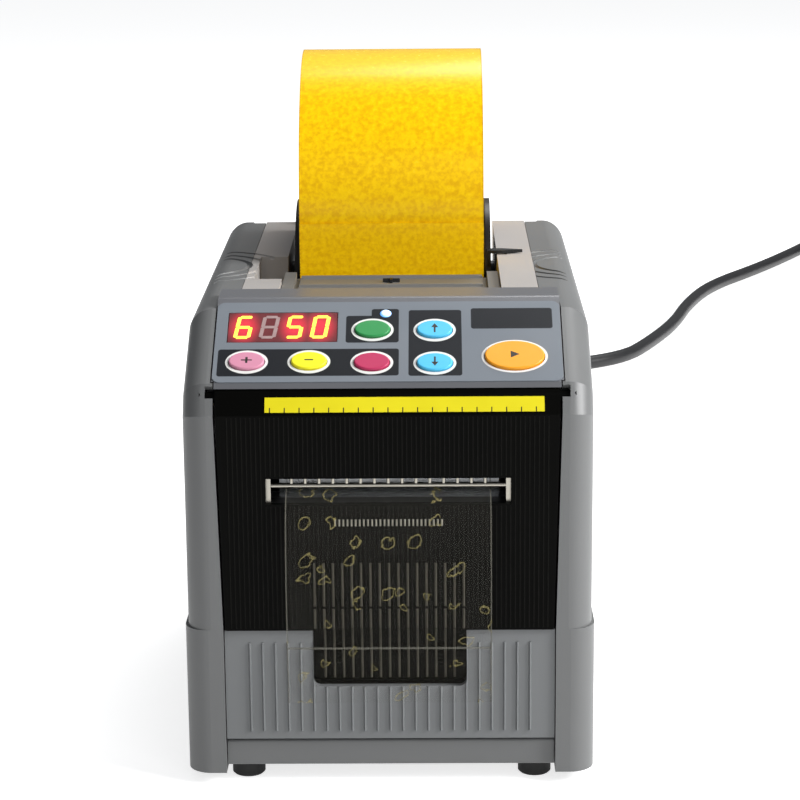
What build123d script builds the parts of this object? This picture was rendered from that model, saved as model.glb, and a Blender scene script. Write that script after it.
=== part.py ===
"""An electric dispenser for wide packing tape: a counter machine that feeds, cuts and hands out a set length.

Lengths are in mm. X runs across the machine, Y to its rear and Z up from the counter.
The origin is on the counter, under the middle of the casing.
"""

from build123d import *
import math
import os

# Casing, the sizes that everything else follows
body_width = 140.0
front_y = -110.0
rear_y = 108.0
shell_bottom_z = 4.5
crease_z = 133.0
facet_rise = 10.0
facet_setback = 6.0
deck_z = 162.0
crest_rise = 3.0
crest_flat = 16.0
panel_angle = 30.0
wall = 2.5
corner_radius = 8.5
fit_gap = 0.3
seam_gap = 0.4
overrun = 1.0
screw_radius = 1.6

# Tape
tape_width = 70.0
roll_radius = 55.0
core_outer_radius = 40.0
core_wall = 2.0
roll_y = 65.0
roll_z = 183.0
web_thickness = 0.3

# Places that the sizes above give
half_width = body_width / 2
facet_y = front_y + facet_setback
facet_z = crease_z + facet_rise
slope = math.tan(math.radians(panel_angle))
deck_front_y = facet_y + (deck_z - facet_z) / slope
crest_z = deck_z + crest_rise
crest_y = facet_y + (crest_z - facet_z) / slope


def block(x0, x1, y0, y1, z0, z1):
    """A box between two corners."""
    return Pos((x0 + x1) / 2, (y0 + y1) / 2, (z0 + z1) / 2) * Box(x1 - x0, y1 - y0, z1 - z0)


def across(points, x0, x1):
    """A side outline of (y, z) points, drawn out across the machine."""
    return extrude(Plane.YZ.offset(x0) * make_face(Polyline(*points, close=True)), amount=x1 - x0)


def along(points, y0, y1):
    """A front outline of (x, z) points, drawn out from front to rear."""
    return extrude(Plane.XZ.offset(-y1) * make_face(Polyline(*points, close=True)), amount=y1 - y0)


def upright(points, z0, z1):
    """A plan outline of (x, y) points, drawn up."""
    return extrude(Plane.XY.offset(z0) * make_face(Polyline(*points, close=True)), amount=z1 - z0)


def rod(x0, x1, y, z, radius):
    """A round bar across the machine."""
    return extrude(Plane.YZ.offset(x0) * Pos(y, z) * Circle(radius), amount=x1 - x0)


def post(x, y, z0, z1, radius):
    """A round bar that stands up."""
    return extrude(Plane.XY.offset(z0) * Pos(x, y) * Circle(radius), amount=z1 - z0)


def lengthwise(x, z, y0, y1, radius):
    """A round bar from front to rear."""
    return extrude(Plane.XZ.offset(-y1) * Pos(x, z) * Circle(radius), amount=y1 - y0)


def mirrored(shape):
    """The same shape on the other side of the machine."""
    return mirror(shape, about=Plane.YZ)


def both_sides(shape):
    """A shape and its mirror image."""
    return shape + mirrored(shape)


def group(shapes):
    """Separate solids that share one node."""
    return Compound(children=[s for shape in shapes for s in shape.solids()])


def polar(y, z, radius, degrees):
    """A point on a circle in the side view."""
    a = math.radians(degrees)
    return y + radius * math.cos(a), z + radius * math.sin(a)


# Casing
plinth_z = 57.0
plinth_step = 1.0
pillar_top_share = 0.847
pillar_foot_share = 0.819
pillar_depth = 13.0
pillar_return = 2.0
housing_inset = 9.8
deck_inset = 16.0
rear_inset = 11.0
housing_half = half_width - housing_inset
deck_half = half_width - deck_inset
deck_front_edge_y = -48.0
rear_half = half_width - rear_inset
inner_radius = corner_radius - wall
pillar_top = half_width * pillar_top_share
pillar_foot = half_width * pillar_foot_share


def side_outline(inset):
    """The casing's side outline, moved inwards by the inset."""
    points = [
        (front_y, shell_bottom_z),
        (front_y, crease_z),
        (facet_y, facet_z),
        (deck_front_y, deck_z),
        (rear_y, deck_z),
        (rear_y, shell_bottom_z),
    ]
    face = make_face(Polyline(*points, close=True))
    return offset(face, amount=-inset, kind=Kind.INTERSECTION) if inset else face


def casing_block(inset, radius):
    """The whole casing as a block with rounded sides."""
    half = half_width - inset
    blank = extrude(Plane.YZ.offset(-half) * side_outline(inset), amount=2 * half)
    rims = [
        e
        for e in blank.edges()
        if abs(abs(e.center().X) - half) < fit_gap and e.center().Z > shell_bottom_z + inset + overrun
    ]
    return fillet(rims, radius)


def left_of_seams():
    """The space of the left shell: behind its pillar's edge, and outside the panel, the deck and the rear cover."""
    far = -half_width - plinth_step - overrun
    high = crest_z + overrun
    front = along(
        [
            (far, 0),
            (-pillar_foot, 0),
            (-pillar_foot, plinth_z),
            (-pillar_top, facet_z),
            (-housing_half, facet_z),
            (-housing_half, high),
            (far, high),
        ],
        front_y - overrun,
        deck_front_edge_y,
    )
    top = block(far, -deck_half, deck_front_edge_y, rear_y - wall, 0, high)
    back = block(far, -rear_half, rear_y - wall, rear_y + overrun, 0, high)
    return front + top + back


hinge_setback = 6.4
hinge_drop = 4.8
hinge_y = front_y + hinge_setback
hinge_z = facet_z - hinge_drop
hinge_pin_radius = 1.9
hinge_pin_length = 3.4
hinge_notch = 2.6
groove_radius = 1.1
groove_rounds = (17.0, 23.0, 30.0)
groove_centre_x = -half_width - overrun
groove_centre_y = 10.0
scoop_front_y = -17.0
scoop_rear_y = 28.0
scoop_drop = 15.0
scoop_edge = 3.0
throat_play = 5.5
throat_half = tape_width / 2 + throat_play
throat_front_y = -44.0
throat_mid_y = -27.0
throat_wall = 2.0
throat_skirt_z = 118.0
throat_rear_z = 135.0
deck_plate = 2.5


def grooves():
    """Three curved finger grooves that lead from the left edge to the scoop."""
    return [Pos(groove_centre_x, groove_centre_y, deck_z) * Torus(r, groove_radius) for r in groove_rounds]


def scoop():
    """A finger scoop that falls from the deck's left side into the throat."""
    left = -deck_half + scoop_edge
    fall = across(
        [
            (scoop_front_y, deck_z + overrun),
            (scoop_front_y + scoop_edge, deck_z - scoop_drop / 2),
            (scoop_front_y + 2 * scoop_edge, deck_z - scoop_drop),
            (scoop_rear_y - scoop_edge, deck_z - scoop_drop),
            (scoop_rear_y, deck_z + overrun),
        ],
        left,
        -throat_half + overrun,
    )
    return fall


def shell_left():
    """The left shell: a moulded wall with its pillar, plinth, screw bosses and hinge notch."""
    outer = casing_block(0, corner_radius)
    inner = casing_block(wall, inner_radius)
    step = half_width + plinth_step
    plinth = block(-step, step, front_y, rear_y, shell_bottom_z, plinth_z)
    rims = [e for e in plinth.edges().filter_by(Axis.Z)]
    plinth = fillet(rims, corner_radius)
    skin = (outer + plinth) - inner - block(
        -half_width + wall, half_width - wall, front_y + wall, rear_y - wall, 0, plinth_z
    )
    shell = skin & left_of_seams()
    side = along(
        [
            (-pillar_foot - pillar_return, shell_bottom_z),
            (-pillar_foot, shell_bottom_z),
            (-pillar_foot, plinth_z),
            (-pillar_top, facet_z),
            (-pillar_top - pillar_return, facet_z),
            (-pillar_foot - pillar_return, plinth_z),
        ],
        front_y + wall / 2,
        front_y + pillar_depth,
    )
    shell += side & outer
    notch = rod(-pillar_top - hinge_notch - pillar_return, -pillar_foot + overrun, hinge_y, hinge_z, hinge_notch)
    slot = across(
        [
            (hinge_y - hinge_notch, hinge_z),
            (hinge_y + hinge_notch, hinge_z),
            (hinge_y - hinge_notch, facet_z + overrun),
            (front_y - overrun, facet_z + overrun),
            (front_y - overrun, hinge_z + hinge_notch),
        ],
        -pillar_top - hinge_notch,
        -pillar_foot + overrun,
    )
    shell -= notch + slot
    for groove in grooves():
        shell -= groove
    return max(shell.solids(), key=lambda s: s.volume)


# Base pan
pan_floor_z = 6.5
pan_floor = 2.5
pan_rim_z = 16.0
pan_rim = 2.0
pan_front_y = -107.5
pan_lip_radius = 2.0
foot_inset_x = 19.5
foot_inset_front = 13.0
foot_inset_rear = 15.0
foot_radius = 5.8
foot_recess = 1.5
foot_land = 1.2
boss_radius = 4.0
boss_inset_x = 8.0
boss_rear_inset = 13.0
boss_top_z = 22.0
pan_half = half_width - wall - fit_gap
pan_rear_y = rear_y - wall - fit_gap
pan_inner_z = pan_floor_z + pan_floor
foot_places = [
    (sx * (half_width - foot_inset_x), y)
    for sx in (-1, 1)
    for y in (front_y + foot_inset_front, rear_y - foot_inset_rear)
]
boss_places = [
    (sx * (half_width - boss_inset_x - wall), y)
    for sx in (-1, 1)
    for y in (front_y + pillar_depth + boss_inset_x, rear_y - boss_rear_inset)
]


def base_pan():
    """A tray with an upturned rim, a lip that shows between the pillars, foot recesses and ribs."""
    inside = pillar_foot - fit_gap
    back_y = front_y + pillar_depth + fit_gap
    plan = [
        (-inside, pan_front_y),
        (inside, pan_front_y),
        (inside, back_y),
        (pan_half, back_y),
        (pan_half, pan_rear_y),
        (-pan_half, pan_rear_y),
        (-pan_half, back_y),
        (-inside, back_y),
    ]
    plan_face = make_face(Polyline(*plan, close=True))
    tray = extrude(Plane.XY.offset(pan_floor_z) * plan_face, amount=pan_rim_z - pan_floor_z)
    hollow_face = offset(plan_face, amount=-pan_rim, kind=Kind.INTERSECTION)
    tray -= extrude(Plane.XY.offset(pan_inner_z) * hollow_face, amount=pan_rim_z)
    lip = tray.edges().filter_by(Axis.X).group_by(Axis.Y)[0]
    tray = fillet(lip, pan_lip_radius / 2)
    for x, y in boss_places:
        tray += post(x, y, pan_floor_z + pan_floor / 2, boss_top_z, boss_radius)
        tray -= post(x, y, pan_floor_z - overrun, boss_top_z + overrun, screw_radius)
    for x, y in foot_places:
        tray -= post(x, y, pan_floor_z - overrun, pan_floor_z + foot_land, foot_radius + fit_gap / 3)
    return tray


def rubber_feet():
    """Four round feet, pressed into the pan's recesses, with a dished sole."""
    feet = []
    for x, y in foot_places:
        foot = post(x, y, 0, pan_floor_z + foot_land, foot_radius)
        foot = chamfer(foot.edges().group_by(Axis.Z)[0], foot_land / 2)
        foot -= post(x, y, -overrun, foot_recess, foot_radius / 2)
        feet.append(foot)
    return group(feet)


def case_screws():
    """Four pan-head screws, up through the pan into its bosses."""
    head = 2 * screw_radius
    screws = []
    for x, y in boss_places:
        screw = post(x, y, pan_floor_z - screw_radius, pan_floor_z, head)
        screw += post(x, y, pan_floor_z, boss_top_z - overrun, screw_radius - fit_gap / 6)
        slot = block(x - head, x + head, y - screw_radius / 4, y + screw_radius / 4, 0, pan_floor_z - screw_radius / 2)
        screws.append(screw - slot)
    return group(screws)


# Ribbed front plate between the pillars
plate_bottom_z = pan_rim_z + 2 * seam_gap
plate_top_z = plinth_z - seam_gap
plate_setback = 1.2
plate_y = front_y + plate_setback
plate_thickness = 2.5
rib_pitch = 4.4
rib_half = 0.8
rib_out = 0.9
rib_count = 23
rib_low_z = 19.8
rib_high_z = 52.0
notch_half = 26.6
notch_bottom_z = 36.0
notch_radius = 2.6
tongue_setback = 4.0
tongue_thickness = 2.0
tongue_ramp = 9.0


def front_plate():
    """The fixed lower front: a plate with upright ribs and a notch under the cover's grip."""
    half = pillar_foot - fit_gap
    back = plate_y + plate_thickness
    plate = block(-half, half, plate_y, back, plate_bottom_z, plate_top_z)
    for i in range(rib_count):
        x = rib_pitch * (i - (rib_count - 1) / 2)
        plate += upright(
            [(x - rib_half, plate_y + rib_out / 2), (x, plate_y - rib_out), (x + rib_half, plate_y + rib_out / 2)],
            rib_low_z,
            rib_high_z,
        )
    notch = extrude(
        Plane.XZ.offset(-back - overrun)
        * Pos(0, (notch_bottom_z + plate_top_z + notch_radius + overrun) / 2)
        * RectangleRounded(2 * notch_half, plate_top_z + notch_radius + overrun - notch_bottom_z, notch_radius),
        amount=plate_thickness + 2 * rib_out + 3 * overrun,
    )
    plate -= notch
    shelf = block(-half, half, back - overrun, back + tongue_setback + tongue_thickness, plate_bottom_z,
                  plate_bottom_z + tongue_thickness)
    return plate + shelf


def grip_tongue():
    """The black hollow behind the notch, with a curved back that meets the cover's grip."""
    back = plate_y + plate_thickness
    half = notch_half + 2 * tongue_thickness
    low = plate_bottom_z + tongue_thickness
    pan = block(-half, half, back, back + tongue_setback + tongue_thickness, low, plate_top_z)
    hollow = extrude(
        Plane.XZ.offset(-back - tongue_setback)
        * Pos(0, (notch_bottom_z + plate_top_z + notch_radius) / 2)
        * RectangleRounded(2 * notch_half, plate_top_z + notch_radius - notch_bottom_z, notch_radius),
        amount=tongue_setback + overrun,
    )
    pan -= hollow
    for sx in (-1, 1):
        web = rod(sx * (notch_half - tongue_ramp) - tongue_thickness / 2,
                  sx * (notch_half - tongue_ramp) + tongue_thickness / 2, back + tongue_setback,
                  (notch_bottom_z + plate_top_z) / 2, tongue_setback - fit_gap)
        pan += web & block(-half, half, back, back + tongue_setback + tongue_thickness / 2, low, plate_top_z)
    return pan


# Rear cover, with the switch and the cord's gland
switch_x = -34.0
switch_z = 34.0
switch_half_x = 9.5
switch_half_z = 6.5
gland_x = 40.0
gland_z = 26.0
gland_hole = 6.0
vent_count = 7
vent_pitch = 5.0
vent_height = 2.4
vent_half = 26.0
vent_z = 66.0


def rear_cover():
    """The back wall: vents, the switch's window, the gland's hole and the roll's open mouth at its top."""
    half = rear_half - seam_gap
    top = deck_z - deck_plate - fit_gap
    cover = block(-half, half, rear_y - wall, rear_y, pan_floor_z, top)
    mouth = throat_half + throat_wall + fit_gap
    cover -= block(-mouth, mouth, rear_y - wall - overrun, rear_y + overrun, throat_rear_z, top + overrun)
    for i in range(vent_count):
        z = vent_z + i * vent_pitch
        cover -= extrude(
            Plane.XZ.offset(-rear_y - overrun) * Pos(0, z) * SlotOverall(2 * vent_half, vent_height),
            amount=wall + 2 * overrun,
        )
    cover -= block(switch_x - switch_half_x, switch_x + switch_half_x, rear_y - wall - overrun, rear_y + overrun,
                   switch_z - switch_half_z, switch_z + switch_half_z)
    cover -= lengthwise(gland_x, gland_z, rear_y - wall - overrun, rear_y + overrun, gland_hole)
    lip = block(-half, half, rear_y - wall, rear_y, throat_rear_z - wall, throat_rear_z)
    return cover + lip


# Top deck with the roll's throat
support_radius = 9.0
support_half = tape_width / 2 - overrun
support_axle_radius = 3.0
support_front_angle = 225.0
support_rear_angle = -62.5
support_front = polar(roll_y, roll_z, roll_radius + support_radius + fit_gap / 6, support_front_angle)
support_rear = polar(roll_y, roll_z, roll_radius + support_radius + fit_gap / 6, support_rear_angle)
skirt_front_y = support_front[0] - support_radius - wall
disc_radius = 29.0
disc_y = 60.0
disc_z = 150.0
disc_hub_radius = 7.0
disc_pin_radius = 4.0
pointer_y = 33.0
pointer_slot = 3.0
housing_step_y = deck_front_edge_y + seam_gap


def top_deck():
    """The deck with its throat: side walls that hang down and carry the support rollers and guide discs."""
    half = deck_half - seam_gap / 2
    back = rear_y - wall - fit_gap
    deck = block(-half, half, housing_step_y, rear_y, deck_z - deck_plate, deck_z)
    deck -= block(-throat_half, throat_half, throat_front_y, rear_y + overrun, 0, deck_z + overrun)
    skirt = block(throat_half, throat_half + throat_wall, skirt_front_y, back, throat_skirt_z, deck_z - overrun)
    skirt += block(throat_half, throat_half + throat_wall, throat_mid_y, skirt_front_y + overrun,
                   deck_z - scoop_drop - wall, deck_z - overrun)
    skirt += block(throat_half, throat_half + throat_wall, throat_front_y, throat_mid_y + overrun,
                   flute_top_z - flute_thickness, deck_z - overrun)
    for y, z in (support_front, support_rear):
        skirt -= rod(throat_half - overrun, throat_half + 2 * throat_wall, y, z, support_axle_radius + fit_gap / 6)
    skirt -= rod(throat_half - overrun, throat_half + 2 * throat_wall, disc_y, disc_z, disc_pin_radius + fit_gap / 3)
    deck += both_sides(skirt)
    tub = block(-half + fit_gap, -throat_half, scoop_front_y - wall / 2, scoop_rear_y + wall / 2,
                deck_z - scoop_drop - wall, deck_z - overrun)
    deck += tub
    deck -= scoop()
    for groove in grooves():
        deck -= groove
    deck -= block(throat_half - overrun, throat_half + 2 * throat_wall, pointer_y - pointer_slot,
                  pointer_y + pointer_slot, deck_z - 2 * deck_plate, deck_z + overrun)
    return max(deck.solids(), key=lambda s: s.volume)


# Front cover, hinged at its top
cover_gap = 0.7
cover_wall = 2.2
cover_flange = 6.0
cover_knuckle = 2.9
cover_bottom_z = plinth_z - seam_gap / 2
cover_top_half = pillar_top - cover_gap
cover_foot_half = pillar_foot - cover_gap
slot_play = 6.7
slot_half = tape_width / 2 + slot_play
slot_low_z = 102.0
slot_high_z = 111.0
grip_half = 25.0
grip_top_z = 83.5
grip_step_z = 69.0
grip_depth = 1.1


def front_cover():
    """The hinged cover: a tapered, cranked wall with side flanges, a knuckle, pins, an exit slot and a grip."""
    reach = cover_wall
    inner_y = front_y + cover_wall
    bend = cover_wall * math.tan(math.atan2(facet_setback, facet_rise) / 2)
    end_share = 0.72
    top_y = front_y + facet_setback * end_share
    top_z = crease_z + facet_rise * end_share
    profile = [
        (front_y, cover_bottom_z),
        (front_y, crease_z),
        (top_y, top_z),
        (hinge_y, hinge_z),
        (inner_y, crease_z - bend),
        (inner_y, cover_bottom_z),
    ]
    flange_y = front_y + cover_flange
    flange_profile = [
        (front_y, cover_bottom_z),
        (front_y, crease_z),
        (top_y, top_z),
        (hinge_y, hinge_z),
        (flange_y, crease_z - cover_flange),
        (flange_y, cover_bottom_z),
    ]
    half = cover_top_half
    wall_plate = across(profile, -half, half)
    flanges = both_sides(across(flange_profile, cover_foot_half - 2 * reach, half))
    outline = along(
        [
            (-cover_foot_half, cover_bottom_z),
            (cover_foot_half, cover_bottom_z),
            (cover_top_half, facet_z),
            (-cover_top_half, facet_z),
        ],
        front_y - overrun,
        front_y + pillar_depth,
    )
    hollow = along(
        [
            (-cover_foot_half + reach, cover_bottom_z - overrun),
            (cover_foot_half - reach, cover_bottom_z - overrun),
            (cover_top_half - reach, facet_z + overrun),
            (-cover_top_half + reach, facet_z + overrun),
        ],
        inner_y,
        front_y + pillar_depth,
    )
    cover = wall_plate + ((flanges & outline) - hollow)
    cover = cover & outline
    cover += rod(-half, half, hinge_y, hinge_z, cover_knuckle) & outline
    pin_end = pillar_top + hinge_pin_length - cover_gap
    cover += rod(-pin_end, pin_end, hinge_y, hinge_z, hinge_pin_radius)
    cover -= block(-slot_half, slot_half, front_y - overrun, inner_y + overrun, slot_low_z, slot_high_z)
    cover -= block(-grip_half, grip_half, front_y - overrun, front_y + grip_depth / 2, cover_bottom_z - overrun,
                   grip_top_z)
    cover -= block(-grip_half, grip_half, front_y - overrun, front_y + grip_depth, cover_bottom_z - overrun,
                   grip_step_z)
    return max(cover.solids(), key=lambda s: s.volume)


strip_low_share = 0.10
strip_high_share = 0.90
stripe_left = -41.5
stripe_right = 53.0
stripe_thickness = 0.3


def yellow_stripe():
    """The plain strip along the cover's slanted top."""
    ay, az = front_y, crease_z
    dy, dz = facet_setback, facet_rise
    size = math.hypot(dy, dz)
    ny, nz = -dz / size, dy / size
    end_share = 0.62
    low = (ay + dy * strip_low_share, az + dz * strip_low_share)
    high = (ay + dy * end_share * strip_high_share, az + dz * end_share * strip_high_share)
    points = [low, high, (high[0] + ny * stripe_thickness, high[1] + nz * stripe_thickness),
              (low[0] + ny * stripe_thickness, low[1] + nz * stripe_thickness)]
    return across(points, stripe_left, stripe_right)


comb_post_pitch = 4.72
comb_post_radius = 0.6
comb_bar_radius = 0.9
comb_bracket = 1.6
bar_z = 107.7
comb_y = front_y + cover_wall + comb_bracket
chute_wall = 1.2
chute_depth = 7.0


def chute_insert():
    """A flared frame behind the exit slot, with the lower lip that the tape slides over."""
    y0 = front_y + cover_wall
    y1 = y0 + chute_depth
    half = slot_half + chute_wall
    low = slot_low_z - chute_wall
    high = slot_high_z + chute_wall
    frame = block(-half, half, y0, y1, low, high)
    frame -= block(-slot_half, slot_half, y0 - overrun, y1 + overrun, slot_low_z, slot_high_z)
    frame = chamfer(frame.edges().filter_by(Axis.X).group_by(Axis.Y)[-1], chute_wall / 3)
    return frame


def exit_comb():
    """A bright bar across the slot with upright pins and an end bracket on each side."""
    reach = slot_half
    comb = rod(-reach, reach, comb_y, bar_z, comb_bar_radius)
    count = int(2 * (reach - comb_post_pitch) / comb_post_pitch)
    start = -comb_post_pitch * (count - 1) / 2
    for i in range(count):
        comb += post(start + i * comb_post_pitch, comb_y, bar_z, slot_high_z, comb_post_radius)
    for sx in (-1, 1):
        x0, x1 = sorted((sx * reach, sx * (reach - comb_bracket)))
        comb += block(x0, x1, front_y + cover_wall, comb_y + comb_bar_radius, slot_low_z, slot_high_z)
    return comb


# Control housing with its panel
overlay_half = housing_half - seam_gap / 2
overlay_length = 41.0
overlay_thickness = 0.4
panel_thickness = 2.5
relief_gap = 0.5
relief_radius = cover_knuckle + relief_gap
board_drop = 9.0
board_thickness = 1.6
key_travel = 0.5
key_gap = 0.3
overlay_corner = 2.8
display_half_x = 18.8
display_half_w = 7.4
display_x = -36.5
display_w = 27.8
module_depth = 6.5
lamp_x = -0.9
lamp_w = 34.6
lamp_radius = 1.6
small_key_half_x = 6.1
small_key_half_w = 4.2
start_key_half_x = 10.2
start_key_half_w = 7.0
key_places = {
    "key_feed": (-5.4, 26.2),
    "key_plus": (-48.2, 10.2),
    "key_minus": (-26.9, 10.2),
    "key_cut": (-5.4, 9.6),
    "key_up": (16.1, 25.9),
    "key_down": (16.1, 9.2),
    "key_start": (43.4, 12.4),
}


def panel_place(x, w, lift):
    """A place on the slanted panel: x across, w up the slope from its front edge, and lift above it."""
    return Pos(0, facet_y, facet_z) * Rot(panel_angle, 0, 0) * Pos(x, w, lift)


def on_panel(sketch, x, w, lift, height):
    """A flat shape on the panel, drawn out along its normal."""
    return panel_place(x, w, lift) * extrude(sketch, amount=height)


def key_size(name):
    """Half the width and half the height of a key."""
    if name == "key_start":
        return start_key_half_x, start_key_half_w
    return small_key_half_x, small_key_half_w


def panel_holes(extra, low, high):
    """The holes for the keys, the display and the lamp, wider by the extra."""
    holes = []
    for name, (x, w) in key_places.items():
        hx, hw = key_size(name)
        holes.append(on_panel(Ellipse(hx + extra, hw + extra), x, w, low, high - low))
    window = Rectangle(2 * (display_half_x + extra), 2 * (display_half_w + extra))
    holes.append(on_panel(window, display_x, display_w, low, high - low))
    holes.append(on_panel(Circle(lamp_radius + extra), lamp_x, lamp_w, low, high - low))
    return holes


lip_share = 0.22
housing_corner = 3.0


def control_housing():
    """The hood over the front: slanted panel, rounded crest, side returns and a lip above the cover."""
    lip_y = facet_y - facet_setback * lip_share
    lip_z = facet_z - facet_rise * lip_share
    outer = [
        (lip_y, lip_z),
        (facet_y, facet_z),
        (crest_y, crest_z),
        (crest_y + crest_flat, crest_z),
        (deck_front_edge_y, crest_z - crest_rise / 2),
        (deck_front_edge_y, deck_z - deck_plate),
    ]
    half = housing_half - seam_gap
    drop = panel_thickness
    inner = [
        (lip_y - overrun, lip_z - overrun - drop),
        (lip_y + drop, lip_z - drop / 2),
        (facet_y + drop / 2, facet_z - drop),
        (crest_y + drop / 4, crest_z - drop),
        (deck_front_edge_y - drop, crest_z - drop),
        (deck_front_edge_y - drop, 0),
        (lip_y - overrun, 0),
    ]
    hood = across(outer, -half, half)
    crest_edges = [e for e in hood.edges().filter_by(Axis.X) if e.center().Z > crest_z - fit_gap]
    hood = fillet(crest_edges, housing_corner)
    hood -= across(inner, -half + panel_thickness, half - panel_thickness)
    hood -= rod(-half - overrun, half + overrun, hinge_y, hinge_z, relief_radius)
    hood -= block(-half - overrun, half + overrun, front_y - overrun, deck_front_edge_y + overrun, 0,
                  lip_z - overrun * 2)
    hood -= both_sides(block(pillar_top - seam_gap, half + overrun, front_y - overrun, facet_y + pillar_depth, 0,
                             facet_z + seam_gap))
    for hole in panel_holes(key_gap, -2 * panel_thickness, 2 * overrun):
        hood -= hole
    return max(hood.solids(), key=lambda s: s.volume)


def keypad_overlay():
    """The thin membrane on the panel, open at the keys, display and lamp."""
    middle = overlay_length / 2
    sheet = on_panel(RectangleRounded(2 * overlay_half - 2 * seam_gap, overlay_length - overlay_thickness,
                                      overlay_corner), 0, middle, 0, overlay_thickness)
    for hole in panel_holes(key_gap, -overrun, 2 * overrun):
        sheet -= hole
    return sheet


key_rise = 1.0


def key_cap(name):
    """A key: an oval cushioned cap on a stem that reaches its switch."""
    x, w = key_places[name]
    hx, hw = key_size(name)
    stem = hw / 3
    foot = -board_drop + switch_height + fit_gap + key_travel
    cap = extrude(Ellipse(hx, hw), amount=panel_thickness + key_rise)
    cap = fillet(cap.edges().group_by(Axis.Z)[-1], key_rise / 2)
    cap = Pos(0, 0, -panel_thickness + overlay_thickness) * cap
    cap += extrude(Plane.XY.offset(foot) * Circle(stem), amount=-foot - panel_thickness + overlay_thickness + key_rise)
    return panel_place(x, w, 0) * cap


switch_half = 2.6
switch_height = 3.2


def switch_body(x, w):
    """A small push switch on the board."""
    body = extrude(Rectangle(2 * switch_half, 2 * switch_half), amount=switch_height - key_travel)
    body += extrude(Circle(switch_half / 2), amount=switch_height)
    return panel_place(x, w, -board_drop) * body


board_half = 56.0
board_length = 33.0
board_post = 2.4


def keypad_board():
    """The circuit board under the panel: four pillars, a switch for each key, the digit display and the lamp."""
    board = panel_place(0, board_length / 2 + 2 * board_post, -board_drop - board_thickness) * extrude(
        Rectangle(2 * board_half, board_length), amount=board_thickness)
    for x in (-board_half + board_post, board_half - board_post):
        for w in (3 * board_post, board_length + board_post):
            board += on_panel(Circle(board_post / 2), x, w, -board_drop, board_drop - panel_thickness - fit_gap)
    for x, w in key_places.values():
        board += switch_body(x, w)
    return board + display_module() + lamp()


def display_module():
    """The digit display: a block with four lit windows."""
    body = extrude(Rectangle(2 * display_half_x - 2 * fit_gap, 2 * display_half_w - 2 * fit_gap),
                   amount=module_depth)
    for i in range(4):
        pitch = display_half_x / 2
        cut = Pos((i - 3 / 2) * pitch, 0, module_depth - fit_gap) * extrude(
            Rectangle(pitch * 3 / 4, display_half_w * 5 / 4), amount=overrun)
        body -= cut
    return panel_place(display_x, display_w, -board_drop) * body


def display_window():
    """The red window in front of the digits."""
    lift = -board_drop + module_depth + fit_gap
    return on_panel(Rectangle(2 * display_half_x, 2 * display_half_w), display_x, display_w, lift,
                    overlay_thickness - lift)


def lamp():
    """The small status lamp."""
    lens = extrude(Circle(lamp_radius), amount=board_drop + overlay_thickness)
    lens = fillet(lens.edges().group_by(Axis.Z)[-1], overlay_thickness)
    return panel_place(lamp_x, lamp_w, -board_drop) * lens


# Feed train and its frame
frame_inset = 18.0
frame_inner = half_width - frame_inset
frame_plate = 2.0
frame_outer = frame_inner + frame_plate
frame_front_y = -98.0
frame_rear_y = 30.0
frame_low_z = pan_inner_z
frame_high_z = 154.0
frame_toe = 8.0
frame_toe_z = 79.0
frame_chest_z = 106.0
frame_brow_y = -72.0
frame_brow_z = 130.0
frame_crown_front_y = -46.0
frame_crown_rear_y = -29.0
frame_step_y = -14.0
frame_step_z = 140.0
frame_back_z = 120.0
frame_foot = 6.0
frame_windows = ((2.0, 60.0, 14.0, 30.0), (-40.0, 40.0, 16.0, 12.0))
shaft_radius = 3.0
run_gap = 0.05
bearing_radius = 5.0
bearing_flange = 1.5
gear_module = 1.0
tooth_shares = ((-0.36, -1.2), (-0.13, 0.9), (0.13, 0.9), (0.36, -1.2))
feed_teeth = 30
idler_teeth = 28
pinion_teeth = 14
gear_width = 5.0
gear_start_x = frame_outer + bearing_flange + fit_gap
feed_y = -50.0
feed_z = 126.0
feed_ring_radius = 12.0
feed_drum_radius = 9.0
feed_ring_width = 6.0
feed_ring_count = 7
feed_overhang = 7.0
feed_half = tape_width / 2 + feed_overhang
idler_angle = -60.0
pinion_angle = -40.0
idler_y, idler_z = polar(feed_y, feed_z, gear_module * (feed_teeth + idler_teeth) / 2, idler_angle)
pinion_y, pinion_z = polar(idler_y, idler_z, gear_module * (idler_teeth + pinion_teeth) / 2, pinion_angle)
motor_radius = 18.0
motor_length = 40.0
motor_shaft_radius = 2.0
pinch_radius = 8.0
pinch_angle = 120.0
pinch_reach = feed_ring_radius + pinch_radius + web_thickness + fit_gap
pinch_y, pinch_z = polar(feed_y, feed_z, pinch_reach, pinch_angle)
pinch_pivot_y = -37.0
pinch_pivot_z = 147.5
pinch_half = feed_half
pinch_arm_x = 46.0
pinch_arm_width = 2.0
cam_y = -78.0
cam_z = 78.0
cam_base_radius = 7.0
cam_lift = 8.0
cam_rise_degrees = 150.0
cam_x = 43.0
cam_width = 4.0
follower_radius = 4.0
cam_gear_teeth = 36
cutter_pinion_teeth = 18
cutter_angle = -20.0
cutter_y, cutter_z = polar(cam_y, cam_z, gear_module * (cam_gear_teeth + cutter_pinion_teeth) / 2, cutter_angle)
cutter_motor_radius = 11.5
cutter_motor_length = 36.0
tie_radius = 3.5
tie_places = ((-86.0, 20.0), (20.0, 20.0), (20.0, 104.0))
pivot_radius = 3.05
shear_y = -92.5
shear_gap = 0.05
blade_thickness = 1.0
blade_overhang = 3.0
blade_half = tape_width / 2 + blade_overhang
web_slope = math.tan(math.radians(panel_angle))
nip_y, nip_z = polar(feed_y, feed_z, feed_ring_radius + fit_gap / 2, pinch_angle)
web_at_shear_z = nip_z - (nip_y - shear_y) * web_slope


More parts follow.
